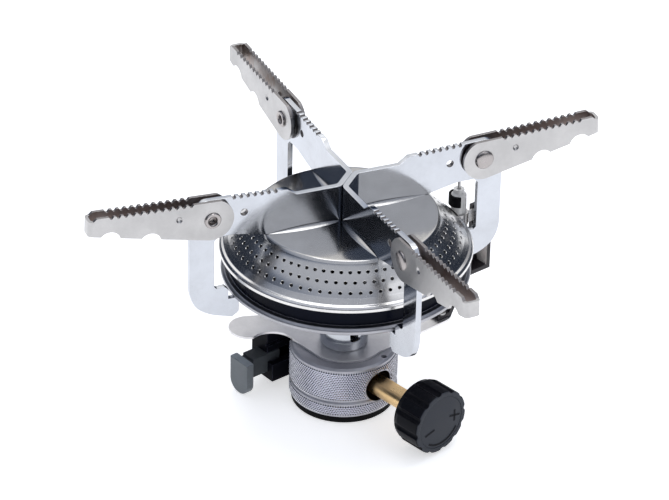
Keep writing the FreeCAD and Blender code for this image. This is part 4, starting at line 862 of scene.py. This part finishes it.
def near_valve(point):
    """How far a point lies out along the valve's axis and away from that axis, in millimetres."""
    out = direction(KNOB_ANGLE)
    along = point.dot(out)
    return along / MM, (point - out * along - Vector((0.0, 0.0, VALVE_Z * MM))).length / MM


def moved(shape, matrix):
    """Moves a bmesh by a matrix and makes its faces point outwards."""
    bmesh.ops.transform(shape, matrix=matrix, verts=shape.verts)
    bmesh.ops.recalc_face_normals(shape, faces=shape.faces)
    return shape


def outwards(shape):
    """Makes a bmesh's faces point outwards."""
    return moved(shape, Matrix.Identity(4))


def lathe(profile, steps, closed=False, shape=None):
    """A turned shape from radii and heights in millimetres, or added to another; radius 0 is a pole."""
    shape = shape or bmesh.new()
    rings = []
    for radius, height in profile:
        ring = []
        for step in range(steps if radius > POLE else 1):
            angle = 2 * math.pi * step / steps
            point = (radius * MM * math.cos(angle), radius * MM * math.sin(angle), height * MM)
            ring.append(shape.verts.new(point))
        rings.append(ring)
    for low, high in zip(rings, rings[1:] + rings[:1] if closed else rings[1:]):
        for step in range(steps):
            ahead = (step + 1) % steps
            corners = [ring[number % len(ring)]
                       for ring, number in ((low, step), (low, ahead), (high, ahead), (high, step))]
            unique = list(dict.fromkeys(corners))
            if len(unique) > 2:
                shape.faces.new(unique)
    return shape


def filleted(points, radii):
    """A profile with its corners rounded by arcs of these radii."""
    result = []
    for number, point in enumerate(points):
        if number not in radii:
            result.append(point)
            continue
        corner = Vector(point)
        back = Vector(points[number - 1]) - corner
        ahead = Vector(points[(number + 1) % len(points)]) - corner
        reach = min(radii[number] / math.tan(back.angle(ahead) / 2), FILLET_SHARE * back.length,
                    FILLET_SHARE * ahead.length)
        start = corner + back.normalized() * reach
        end = corner + ahead.normalized() * reach
        for step in range(FILLET_STEPS + 1):
            share = step / FILLET_STEPS
            result.append(tuple(start.lerp(corner, share).lerp(corner.lerp(end, share), share)))
    return result


def inward(points, thickness):
    """A profile moved inwards by the sheet's thickness, with mitred corners."""
    normals = []
    for (x0, z0), (x1, z1) in zip(points, points[1:]):
        length = math.dist((x0, z0), (x1, z1))
        normals.append(((z0 - z1) / length, (x1 - x0) / length))
    result = []
    for number, (x, z) in enumerate(points):
        before = normals[max(number - 1, 0)]
        after = normals[min(number, len(normals) - 1)]
        middle = (before[0] + after[0], before[1] + after[1])
        scale = 2 * thickness / (middle[0] ** 2 + middle[1] ** 2)
        result.append((x + middle[0] * scale, z + middle[1] * scale))
    return result


def bridge(shape, first, second):
    """Joins two rings of vertices by faces."""
    for number in range(len(first)):
        after = (number + 1) % len(first)
        shape.faces.new((first[number], first[after], second[after], second[number]))


# Pieces

def new_piece(name, shape):
    """A mesh object in the scene from a bmesh in metres."""
    mesh = bpy.data.meshes.new(name)
    shape.to_mesh(mesh)
    shape.free()
    piece = bpy.data.objects.new(name, mesh)
    bpy.context.scene.collection.objects.link(piece)
    return piece


def settle(piece):
    """Turns a piece's modifiers into plain mesh."""
    bpy.context.view_layer.update()
    graph = bpy.context.evaluated_depsgraph_get()
    mesh = bpy.data.meshes.new_from_object(piece.evaluated_get(graph))
    piece.modifiers.clear()
    old = piece.data
    piece.data = mesh
    bpy.data.meshes.remove(old)
    mesh.name = piece.name
    return piece


def grow(piece, group_name, material, **values):
    """Runs a geometry tree on a piece and keeps its result."""
    modifier = piece.modifiers.new(group_name, "NODES")
    modifier.node_group = bpy.data.node_groups.get(group_name) or GEOMETRY_GROUPS[group_name]()
    values["Material"] = material
    for item in modifier.node_group.interface.items_tree:
        if item.item_type == "SOCKET" and item.in_out == "INPUT" and item.name in values:
            modifier[item.identifier] = values[item.name]
    return settle(piece)


def smooth(piece, angle=CREASE):
    """Smooth shading with creases at corners sharper than the angle."""
    piece.data.shade_smooth()
    piece.data.set_sharp_from_angle(angle=math.radians(angle))
    return piece


def dress(piece, body, material=None, replaced=()):
    """Gives a piece its material, its body and the nodes it stands for."""
    if material is not None:
        piece.data.materials.clear()
        piece.data.materials.append(material)
    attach(piece, body)
    if replaced:
        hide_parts(*replaced)
    return piece


def paint(piece, finish_name, chosen):
    """Gives another finish to the faces that are chosen by their centre and their normal."""
    piece.data.materials.append(finish(finish_name))
    number = len(piece.data.materials) - 1
    for face in piece.data.polygons:
        if chosen(face.center, face.normal):
            face.material_index = number


def joined_shape(node):
    """A frame node's mesh as a bmesh, with its triangles joined and its flat faces whole."""
    shape = bmesh.new()
    shape.from_mesh(frame["nodes"][node].data)
    for layers in (shape.loops.layers.uv, shape.loops.layers.float_vector, shape.loops.layers.float_color):
        for layer in list(layers):
            layers.remove(layer)
    bmesh.ops.remove_doubles(shape, verts=shape.verts, dist=WELD)
    bmesh.ops.dissolve_limit(shape, angle_limit=math.radians(FLAT_ANGLE), verts=shape.verts, edges=shape.edges)
    return shape


def rounded_copy(node, width, shape):
    """A copy of a frame node, or a shape that stands for it, with soft edges."""
    piece = new_piece(node + "_rounded", shape or joined_shape(node))
    if width:
        bevel = piece.modifiers.new("Soft edges", "BEVEL")
        bevel.width = width
        bevel.segments = 2
        bevel.limit_method = "ANGLE"
        bevel.angle_limit = math.radians(BEVEL_CORNER)
        bevel.use_clamp_overlap = True
        settle(piece)
    smooth(piece)
    if width:
        flat = piece.modifiers.new("Flat faces", "WEIGHTED_NORMAL")
        flat.keep_sharp = True
        flat.weight = 100
        settle(piece)
    return piece


def body_of(node):
    """The body that a frame node rides on."""
    return frame["nodes"][node]["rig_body"]


def finish_node(node, finish_name, width=None, shape=None):
    """Replaces a frame node by its copy with soft edges and its finish."""
    if width is None:
        width = settings("sizes").edge_round
    return dress(rounded_copy(node, width, shape), body_of(node), finish(finish_name), [node])


# Valve base

def knurl_diamond(columns, rise, depth):
    """One raised diamond of the knurl, on the base's side."""
    radius = BASE_RADIUS * MM
    sunk = radius - KNURL_SUNK * MM
    half = math.pi / columns
    shape = bmesh.new()
    corners = []
    for angle, height in ((-half, 0.0), (0.0, -rise / 2), (half, 0.0), (0.0, rise / 2)):
        corners.append(shape.verts.new((sunk * math.cos(angle), sunk * math.sin(angle), height)))
    tip = shape.verts.new((radius + depth, 0, 0))
    for first, second in zip(corners, corners[1:] + corners[:1]):
        shape.faces.new((first, second, tip))
    return shape


def knurl_band(name, low, high):
    """A band of knurling between two heights, left open where the valve's port is."""
    sizes = settings("sizes")
    rise = sizes.knurl_rise
    rows = int((high - low) * MM / rise * 2) - 1
    shape = knurl_diamond(sizes.knurl_columns, rise, sizes.knurl_depth)
    bmesh.ops.translate(shape, vec=(0, 0, low * MM + rise / 2), verts=shape.verts)
    piece = grow(new_piece(name, shape), "Copies round an axis", finish("knurl"), Columns=sizes.knurl_columns,
                 Rows=rows, Rise=rise / 2, Stagger=0.5)
    opened = bmesh.new()
    opened.from_mesh(piece.data)
    bmesh.ops.remove_doubles(opened, verts=opened.verts, dist=WELD)
    places = [(vert, *near_valve(vert.co)) for vert in opened.verts]
    cut = [vert for vert, along, away in places if along > 0 and away < PORT_CLEAR]
    bmesh.ops.delete(opened, geom=cut, context="VERTS")
    opened.to_mesh(piece.data)
    opened.free()
    piece.data.shade_flat()
    return dress(piece, STOVE, finish("knurl"))


def in_port(centre, normal):
    """Whether a face of the base lies inside the valve's port."""
    along, away = near_valve(centre)
    return PORT_FROM < along < PORT_TO and away < PORT_CLEAR


class STOVE_OT_base(bpy.types.Operator):
    """Builds the valve base with its knurl, its rubber ring and what lies in the cartridge socket"""
    bl_idname = "stove.build_base"
    bl_label = "Valve Base"

    def execute(self, context):
        body = finish_node("base_body", "aluminium", width=0.0004)
        # The inside of the port gets a dark finish: painted shade
        paint(body, "port", in_port)
        for name, low, high in KNURL_BANDS:
            knurl_band(name, low, high)
        finish_node("base_ring", "rubber", width=0.0002)
        finish_node("inlet_seal", "rubber", width=0.0)
        finish_node("gas_filter", "sintered", width=0.0001)
        finish_node("valve_pin", "brass", width=0.0002)
        thread = grow(new_piece("socket_thread", bmesh.new()), "Thread ridge", finish("aluminium"),
                      Radius=SOCKET_RADIUS * MM, Pitch=settings("sizes").thread_pitch, Turns=THREAD_TURNS,
                      Start=THREAD_FROM * MM, Ridge=THREAD_RIDGE * MM)
        smooth(dress(thread, STOVE))
        return {"FINISHED"}


class STOVE_OT_valve(bpy.types.Operator):
    """Builds the needle, the spindle, its seal and the gland nut"""
    bl_idname = "stove.build_valve"
    bl_label = "Valve"

    def execute(self, context):
        finish_node("valve_needle", "steel", width=0.0001)
        finish_node("valve_spindle", "spindle", width=0.0002)
        finish_node("spindle_seal", "rubber", width=0.0)
        finish_node("gland_nut", "spindle", width=0.0003)
        return {"FINISHED"}


# Knob

def face_mark(line, height):
    """A raised stroke along a line of points on the knob's face, in its own plane."""
    shape = bmesh.new()
    left = []
    right = []
    for number, point in enumerate(line):
        before = Vector(line[max(number - 1, 0)])
        after = Vector(line[min(number + 1, len(line) - 1)])
        ahead = (after - before).normalized()
        aside = Vector((-ahead.y, ahead.x)) * MARK_WIDTH / 2
        left.append(Vector(point) + aside)
        right.append(Vector(point) - aside)
    floor = (KNOB_FACE_AT - MARK_SUNK) * MM
    base = shape.faces.new([shape.verts.new((x * MM, y * MM, floor)) for x, y in left + right[::-1]])
    raised = bmesh.ops.extrude_face_region(shape, geom=[base])
    top = [item for item in raised["geom"] if isinstance(item, bmesh.types.BMVert)]
    bmesh.ops.translate(shape, vec=(0, 0, height + MARK_SUNK * MM), verts=top)
    return shape


def arc_line():
    """The arc on the knob's face between its two signs."""
    angles = [math.radians(ARC_FROM + ARC_SWEEP * step / ARC_STEPS) for step in range(ARC_STEPS + 1)]
    return [(ARC_RADIUS * math.cos(angle), ARC_RADIUS * math.sin(angle)) for angle in angles]


def knob_radius(radius, angle):
    """The knob's radius at an angle, in mm, with the rounded grooves between its lobes."""
    sizes = settings("sizes")
    pitch = 2 * math.pi / sizes.knob_lobes
    aside = (angle - math.radians(LOBE_ANGLE) + pitch / 2) % pitch - pitch / 2
    centre = KNOB_RADIUS + LOBE_GROOVE - sizes.lobe_depth / MM
    across = centre * math.sin(aside)
    if abs(across) >= LOBE_GROOVE:
        return radius
    groove = centre * math.cos(aside) - math.sqrt(LOBE_GROOVE ** 2 - across ** 2)
    blend = max(LOBE_SOFT - abs(radius - groove), 0.0) / LOBE_SOFT
    return min(radius, groove) - blend * blend * LOBE_SOFT / 4


def knob_shape():
    """The knob about its own axis: lobed outside, hollow behind, with a flat in its hub's bore."""
    shape = lathe(filleted(KNOB_PROFILE, KNOB_ROUNDS), LOBE_STEPS * settings("sizes").knob_lobes)
    for vert in shape.verts:
        radius = math.hypot(vert.co.x, vert.co.y) / MM
        angle = math.atan2(vert.co.y, vert.co.x)
        if radius > LOBES_FROM:
            vert.co.xy *= knob_radius(radius, angle) / radius
        elif POLE < radius < KNOB_BORE_TO and math.cos(angle) < -SPINDLE_FLAT / radius:
            vert.co.xy *= -SPINDLE_FLAT / math.cos(angle) / radius
    return shape


class STOVE_OT_knob(bpy.types.Operator):
    """Builds the lobed knob, its face and the marks on it"""
    bl_idname = "stove.build_knob"
    bl_label = "Knob"

    def execute(self, context):
        piece = smooth(new_piece("knob_lobed", moved(knob_shape(), on_valve())), TURNED_CREASE)
        dress(piece, body_of("knob"), finish("black"), ["knob"])
        paint(piece, "knob_face", lambda centre, normal: near_valve(centre)[0] > KNOB_FRONT_FROM)
        shape = moved(lathe(filleted(KNOB_FACE_PROFILE, KNOB_FACE_ROUNDS), FACE_STEPS), on_valve())
        piece = smooth(new_piece("knob_face_plain", shape))
        dress(piece, body_of("knob_face"), finish("knob_face"), ["knob_face"])
        for number, line in enumerate((*KNOB_SIGNS, arc_line()), 1):
            shape = moved(face_mark(line, settings("sizes").mark_depth), on_valve())
            piece = smooth(new_piece("knob_mark_" + str(number), shape))
            dress(piece, body_of("knob_face"), finish("black"))
        return {"FINISHED"}


# Burner

class STOVE_OT_tube(bpy.types.Operator):
    """Builds the gas jet, the tube's socket and the mixing tube"""
    bl_idname = "stove.build_tube"
    bl_label = "Mixing Tube"

    def execute(self, context):
        finish_node("gas_jet", "brass")
        finish_node("tube_socket", "chrome", width=0.0004)
        finish_node("mixing_tube", "chrome")
        return {"FINISHED"}


class STOVE_OT_plate(bpy.types.Operator):
    """Builds the bracket plate"""
    bl_idname = "stove.build_plate"
    bl_label = "Bracket Plate"

    def execute(self, context):
        finish_node("bracket_plate", "plate")
        return {"FINISHED"}


def on_bowl_wall(centre, normal):
    """Whether a face of the bowl lies on its wall between the rims."""
    return centre.xy.length > BOWL_WALL_OUT * MM and BOWL_WALL_FROM * MM < centre.z < BOWL_WALL_TO * MM


class STOVE_OT_bowl(bpy.types.Operator):
    """Builds the pressed burner bowl"""
    bl_idname = "stove.build_bowl"
    bl_label = "Burner Bowl"

    def execute(self, context):
        shape = outwards(lathe(filleted(BOWL_PROFILE, BOWL_ROUNDS), BOWL_STEPS, closed=True))
        piece = smooth(new_piece("burner_bowl_pressed", shape))
        dress(piece, STOVE, finish("bowl"), ["burner_bowl"])
        paint(piece, "bowl_wall", on_bowl_wall)
        return {"FINISHED"}


def hole_cell(low, high, under_low, under_high, radius, columns):
    """One cell of a cone band with a flame hole through its middle: lip, wall and both skins."""
    middle = (low[0] + high[0]) / 2
    slope = math.dist(low, high)
    normal = Vector((high[1] - low[1], 0, low[0] - high[0])).normalized()
    shape = bmesh.new()

    def on_cone(across, along, under):
        """A point of the cell by its place across and along, in mm from the middle, on either skin."""
        start, end = (under_low, under_high) if under else (low, high)
        share = along / slope + 0.5
        out = start[0] + (end[0] - start[0]) * share
        height = start[1] + (end[1] - start[1]) * share
        angle = across / middle
        return Vector((out * MM * math.cos(angle), out * MM * math.sin(angle), height * MM))

    def border(under):
        """The cell's edge: corners and the middles of its sides."""
        half = math.pi / columns * middle
        places = [on_cone(across * half, along * slope / 2, under) for across, along in CELL_EDGE]
        return [shape.verts.new(place) for place in places]

    def ring(size, under, sink=0.0):
        """The hole's edge on one skin, a little below it if sunk."""
        result = []
        for step in range(HOLE_POINTS):
            angle = math.radians(HOLE_START + 360 / HOLE_POINTS * step)
            point = on_cone(size * math.cos(angle), size * math.sin(angle), under)
            result.append(shape.verts.new(point - normal * sink * MM))
        return result

    def skin(edge, hole, flip):
        """The faces between a cell's edge and its hole."""
        for number in range(len(edge)):
            after = (number + 1) % len(edge)
            corners = [edge[number], edge[after], hole[2 * after], hole[2 * number + 1], hole[2 * number]]
            shape.faces.new(corners[::-1] if flip else corners)

    lip = ring(radius * HOLE_LIP, False)
    mouth = ring(radius, False, HOLE_SINK)
    bottom = ring(radius, True)
    skin(border(False), lip, False)
    skin(border(True), bottom, True)
    bridge(shape, lip, mouth)
    bridge(shape, mouth, bottom)
    return shape


def cap_shape():
    """The pressed cap: turned below and above, with bands of flame holes between."""
    sizes = settings("sizes")
    columns = sizes.hole_columns
    inner = inward(CAP_OUTER, CAP_SHEET)
    inner[-1] = (0.0, inner[-1][1])
    first, last = CAP_HOLE_BANDS.start, CAP_HOLE_BANDS.stop
    lower = CAP_OUTER[:first + 1] + inner[:first + 1][::-1]
    upper = CAP_OUTER[last:] + inner[last:][::-1]
    whole = lathe(filleted(lower, CAP_LOWER_ROUNDS), 2 * columns)
    lathe(filleted(upper, CAP_UPPER_ROUNDS), 2 * columns, shape=whole)
    for band in CAP_HOLE_BANDS:
        cell = hole_cell(*CAP_OUTER[band:band + 2], *inner[band:band + 2], sizes.hole_radius / MM, columns)
        turn = math.pi / columns * (band % 2)
        bmesh.ops.transform(cell, matrix=Matrix.Rotation(turn, 4, "Z"), verts=cell.verts)
        piece = grow(new_piece("cap_band", cell), "Copies round an axis", finish("cap"), Columns=columns)
        whole.from_mesh(piece.data)
        bpy.data.objects.remove(piece)
    bmesh.ops.remove_doubles(whole, verts=whole.verts, dist=CAP_WELD)
    return outwards(whole)


class STOVE_OT_cap(bpy.types.Operator):
    """Builds the burner cap with its flame holes"""
    bl_idname = "stove.build_cap"
    bl_label = "Burner Cap"

    def execute(self, context):
        piece = smooth(new_piece("burner_cap_perforated", cap_shape()), CAP_CREASE)
        dress(piece, STOVE, finish("cap"), ["burner_cap"])
        paint(piece, "disc", lambda centre, normal: centre.z > CAP_DISC_FROM * MM)
        # The rim's faces get a lighter finish: a painted highlight
        paint(piece, "rim", lambda centre, normal: centre.z < CAP_RIM_TO * MM and normal.z > RIM_NORMAL_UP)
        return {"FINISHED"}


# Pot supports

def rounded_sheet(node):
    """A support sheet with round lower corners on its legs."""
    shape = joined_shape(node)
    corners = []
    for edge in shape.edges:
        first, second = (vert.co for vert in edge.verts)
        middle = (first + second) / 2
        angle = near_arm(middle)
        along, across = on_arm((second - first) / MM, angle)
        is_foot = on_arm(middle / MM, angle)[0] > FOOT_OUT and middle.z < FOOT_TOP * MM
        if is_foot and abs(across) > FOOT_EDGE_ACROSS and abs(along) < FOOT_EDGE_ALONG:
            corners.append(edge)
    bmesh.ops.bevel(shape, geom=corners, offset=settings("sizes").foot_round, segments=FOOT_STEPS, profile=0.5,
                    affect="EDGES", clamp_overlap=True)
    return shape


def rib_shape():
    """The ribs pressed in the cap on both sides of an arm, drawn with X outwards and the arm at Y 0."""
    sizes = settings("sizes")
    shape = bmesh.new()
    for side in (1, -1):
        before = None
        for step in range(RIB_STEPS + 1):
            share = step / RIB_STEPS
            out = (RIB_FROM + (RIB_TO - RIB_FROM) * share) * MM
            swell = RIB_END + math.sin(math.pi * share ** RIB_FULLNESS) ** RIB_FULLNESS
            width = sizes.rib_width * swell
            points = [(0.0, -RIB_SUNK * MM), (width, -RIB_SUNK * MM)]
            for number in range(RIB_ARC + 1):
                across = 1.0 - number / RIB_ARC
                points.append((width * across, sizes.rib_height * swell * (1.0 - across ** RIB_SLOPE)))
            ring = [shape.verts.new((out, side * (ARM_HALF * MM + y), CAP_TOP * MM + z)) for y, z in points]
            if before is None or step == RIB_STEPS:
                shape.faces.new(ring)
            if before is not None:
                bridge(shape, before, ring)
            before = ring
    return outwards(shape)


def in_notch(centre, normal):
    """Whether a face of a support sheet lies in a notch of its teeth or in its small hole."""
    angle = near_arm(centre)
    if abs(on_arm(normal, angle)[1]) > SHEET_NORMAL_ACROSS:
        return False
    out, height = on_arm(centre / MM, angle)[0], centre.z / MM
    top = ARM_TOOTH_Z + ARM_RISE * (out - ARM_TEETH_FROM)
    in_teeth = ARM_TEETH_FROM < out < ARM_TEETH_TO and top - NOTCH_DEPTH < height < top - NOTCH_SKIN
    return in_teeth or math.hypot(out - PIVOT_AT + DETENT_BACK, height - PIVOT_Z + DETENT_DROP) < DETENT_CLEAR


class STOVE_OT_supports(bpy.types.Operator):
    """Builds the two crossed pot support sheets and the cap's ribs beside them"""
    bl_idname = "stove.build_supports"
    bl_label = "Pot Supports"

    def execute(self, context):
        for node in ("support_sheet_left", "support_sheet_right"):
            piece = finish_node(node, "zinc", shape=rounded_sheet(node))
            # The notches and the small hole get the dark cut finish as painted shade
            paint(piece, "cut", in_notch)
        ribs = grow(new_piece("cap_ribs", rib_shape()), "Copies on the arms", finish("cap"),
                    Skew=math.radians(ARM_SKEW), Outwards=0.0, Aside=ARM_OFFSET * MM, Height=0.0)
        dress(smooth(ribs), STOVE)
        return {"FINISHED"}


# Folding leaves

def rivet_shape():
    """A leaf's rivet along its own axis: low dome, shank, and a tubular tail rolled over."""
    profile = []
    for step in range(DOME_STEPS + 1):
        angle = math.radians(90 * step / DOME_STEPS)
        height = LEAF_SIDE + DOME_HEIGHT * math.cos(angle) ** DOME_CURVE
        profile.append((DOME_RADIUS * math.sin(angle), height))
    profile += [(DOME_RADIUS, LEAF_SIDE), (RIVET_TAIL[0][0], LEAF_SIDE)]
    profile += [(radius, height - LEAF_SIDE) for radius, height in RIVET_TAIL]
    return lathe(profile, RIVET_STEPS)


def in_leaf(angle, side):
    """The test for a leaf's faces on its inside."""
    def chosen(centre, normal):
        aside = on_arm(centre / MM, angle)[1] - side * ARM_OFFSET
        outward, facing = on_arm(normal, angle)
        looks_in = aside * facing < LEAF_FACING and outward < LEAF_NORMAL_OUT
        return abs(aside) < LEAF_INSIDE and abs(normal.z) < LEAF_NORMAL_UP and looks_in
    return chosen


def on_leaf_edge(angle, side):
    """The test for a leaf's cut upper edges."""
    def chosen(centre, normal):
        aside = on_arm(centre / MM, angle)[1] - side * ARM_OFFSET
        is_high = centre.z > (PIVOT_Z + LEAF_EDGE_UP) * MM
        return abs(aside) > LEAF_INSIDE and normal.z > LEAF_EDGE_NORMAL_UP and is_high
    return chosen


class STOVE_OT_leaves(bpy.types.Operator):
    """Builds the four folding leaves, their rivets and washers"""
    bl_idname = "stove.build_leaves"
    bl_label = "Folding Leaves"

    def execute(self, context):
        for arm, angle, side in ARMS:
            piece = finish_node("leaf_" + arm, "leaf", width=0.00016)
            # The leaves' insides get a darker finish: painted shade, with tarnish patches
            paint(piece, "faded_and_shaded" if arm == "rear" else "tarnished", in_leaf(angle, side))
            paint(piece, "cut", on_leaf_edge(angle, side))
        shape = moved(rivet_shape(), Matrix.Rotation(math.radians(90), 4, "X"))
        piece = grow(new_piece("leaf_rivets_formed", shape), "Copies on the arms", finish("rivet"),
                     Skew=math.radians(ARM_SKEW), Outwards=PIVOT_AT * MM, Aside=ARM_OFFSET * MM,
                     Height=PIVOT_Z * MM, Tilt=LEAF_TILT)
        dress(smooth(piece, TURNED_CREASE), STOVE, None, ["leaf_rivets"])
        finish_node("leaf_washers", "washer", width=0.00012)
        return {"FINISHED"}


# Igniter

class STOVE_OT_igniter(bpy.types.Operator):
    """Builds the igniter's housing, its button and its screw"""
    bl_idname = "stove.build_igniter"
    bl_label = "Igniter"

    def execute(self, context):
        width = settings("sizes").moulded_round
        finish_node("igniter_housing", "housing", width=width)
        button = finish_node("igniter_button", "button", width=width)
        out = direction(IGNITER_ANGLE)
        # The shank is darkened as painted shade
        paint(button, "button_shank_shade", lambda centre, normal: centre.dot(out) < BUTTON_SHANK_TO * MM)
        # The button's up-facing top gets a lighter finish: painted light
        paint(button, "button_top_lit", lambda centre, normal:
              normal.z > BUTTON_NORMAL_UP and centre.dot(out) > BUTTON_CAP_FROM * MM)
        finish_node("igniter_screw", "steel")
        return {"FINISHED"}


class STOVE_OT_electrode(bpy.types.Operator):
    """Builds the electrode, its bracket, its clip and its lead"""
    bl_idname = "stove.build_electrode"
    bl_label = "Electrode"

    def execute(self, context):
        bracket = finish_node("electrode_bracket", "bracket")
        out = direction(CHANNEL_ANGLE)
        # The inner face of the outer wall gets a pale finish: painted light
        paint(bracket, "bracket_inside", lambda centre, normal:
              normal.dot(out) < CHANNEL_NORMAL_OUT and centre.dot(out) > CHANNEL_WALL_FROM * MM)
        finish_node("bracket_rivets", "steel")
        finish_node("electrode_clip", "steel", width=0.0001)
        finish_node("electrode_ceramic", "ceramic", width=0.0003)
        finish_node("electrode_sleeve", "rubber", width=0.0001)
        finish_node("electrode_wire", "steel", width=0.0001)
        finish_node("igniter_lead", "rubber", width=0.0)
        return {"FINISHED"}


# Stage

def view_back(stage):
    """The unit vector from the camera's target towards the camera."""
    level = math.cos(stage.elevation)
    back = (math.sin(stage.azimuth) * level, -math.cos(stage.azimuth) * level, math.sin(stage.elevation))
    return Vector(back)


def soft_light(name, place, target, power):
    """A large square light that looks at a point."""
    data = bpy.data.lights.new(name, "AREA")
    data.shape = "SQUARE"
    data.size = LIGHT_SIZE
    data.energy = power
    light = bpy.data.objects.new(name, data)
    bpy.context.scene.collection.objects.link(light)
    light.location = place
    light.rotation_euler = (Vector(target) - Vector(place)).to_track_quat("-Z", "Y").to_euler()


def studio_sky(stage):
    """A light tent: pale walls and roof, brighter behind, dark low down and where the camera looks in."""
    world = bpy.data.worlds.new("Studio")
    bpy.context.scene.world = world
    world.use_nodes = True
    tree = world.node_tree
    tree.nodes.clear()
    place = add(tree, "ShaderNodeTexCoord").outputs["Generated"]
    height = add(tree, "ShaderNodeSeparateXYZ", {0: place}).outputs[2]
    towards = view_back(stage)
    behind = Vector((-towards.x, -towards.y, BEHIND_RISE)).normalized()
    glow = remapped(tree, likeness(tree, place, behind), *TENT_GLOW)
    glow = maths(tree, "MULTIPLY", glow, remapped(tree, height, *TENT_GLOW_FROM))
    level = maths(tree, "ADD", remapped(tree, height, *TENT_WALL), glow)
    near = remapped(tree, likeness(tree, place, towards), *TENT_CAMERA)
    dark = maths(tree, "MULTIPLY", near, remapped(tree, height, *TENT_OPENING))
    open_level = maths(tree, "MULTIPLY", level, maths(tree, "SUBTRACT", 1.0, dark))
    light = add(tree, "ShaderNodeBackground", {
        "Color": mixed(tree, level, TENT_DIM, WHITE),
        "Strength": maths(tree, "MULTIPLY", open_level, stage.sky)})
    add(tree, "ShaderNodeOutputWorld", {"Surface": light.outputs[0]})


def place_camera(stage):
    """The camera of the photograph: angles round the stove, a slight roll and a long lens."""
    back = view_back(stage)
    right = Vector((math.cos(stage.azimuth), math.sin(stage.azimuth), 0.0))
    up = back.cross(right)
    across = right * math.cos(stage.roll) + up * math.sin(stage.roll)
    upward = up * math.cos(stage.roll) - right * math.sin(stage.roll)
    data = bpy.data.cameras.new("Camera")
    data.sensor_width = SENSOR_WIDTH
    data.lens = stage.lens
    camera = bpy.data.objects.new("Camera", data)
    bpy.context.scene.collection.objects.link(camera)
    turn = Matrix((across, upward, back)).transposed()
    place = Vector(CAMERA_TARGET) + back * stage.distance
    camera.matrix_world = Matrix.Translation(place) @ turn.to_4x4()
    bpy.context.scene.camera = camera


class STOVE_OT_stage(bpy.types.Operator):
    """Builds the floor, the soft light and the camera"""
    bl_idname = "stove.build_stage"
    bl_label = "Stage"

    def execute(self, context):
        stage = settings("stage")
        shape = bmesh.new()
        bmesh.ops.create_circle(shape, cap_ends=True, radius=stage.floor_radius, segments=FLOOR_STEPS)
        floor = new_piece("floor", shape)
        pale = Finish("Pale floor", stage.floor, 0.6)
        pale.tint(pale.group("Smudges", Scale=3.0), shade(stage.floor, 1.02), 0.4)
        glow = {"Emission Color": WHITE, "Emission Strength": stage.floor_glow}
        floor.data.materials.append(pale.done(**glow))
        studio_sky(stage)
        for name, place, target in LIGHTS:
            soft_light(name, place, target, getattr(stage, name))
        place_camera(stage)
        context.scene.view_settings.view_transform = "Standard"
        return {"FINISHED"}


# Add-on

OPERATORS = (
    STOVE_OT_stage, STOVE_OT_base, STOVE_OT_valve, STOVE_OT_knob, STOVE_OT_tube, STOVE_OT_plate, STOVE_OT_bowl,
    STOVE_OT_cap, STOVE_OT_supports, STOVE_OT_leaves, STOVE_OT_igniter, STOVE_OT_electrode,
)


class STOVE_PT_panel(bpy.types.Panel):
    """Settings and pieces of the stove"""
    bl_idname = "STOVE_PT_panel"
    bl_label = "Backpacking Stove"
    bl_space_type = "VIEW_3D"
    bl_region_type = "UI"
    bl_category = "Stove"

    def draw(self, context):
        layout = self.layout
        for kind, group in SETTINGS.items():
            box = layout.box()
            box.label(text=kind.title())
            for name in group.__annotations__:
                box.prop(settings(kind), name)
        column = layout.column(align=True)
        for operator in OPERATORS:
            column.operator(operator.bl_idname)


CLASSES = tuple(SETTINGS.values()) + OPERATORS + (STOVE_PT_panel,)


def register():
    for item in CLASSES:
        bpy.utils.register_class(item)
    for kind, group in SETTINGS.items():
        setattr(bpy.types.Scene, "stove_" + kind, PointerProperty(type=group))


def unregister():
    for kind in SETTINGS:
        delattr(bpy.types.Scene, "stove_" + kind)
    for item in reversed(CLASSES):
        bpy.utils.unregister_class(item)


def main():
    """Builds the whole stove."""
    register()
    for operator in OPERATORS:
        category, name = operator.bl_idname.split(".")
        getattr(getattr(bpy.ops, category), name)()


if __name__ == "__main__":
    main()
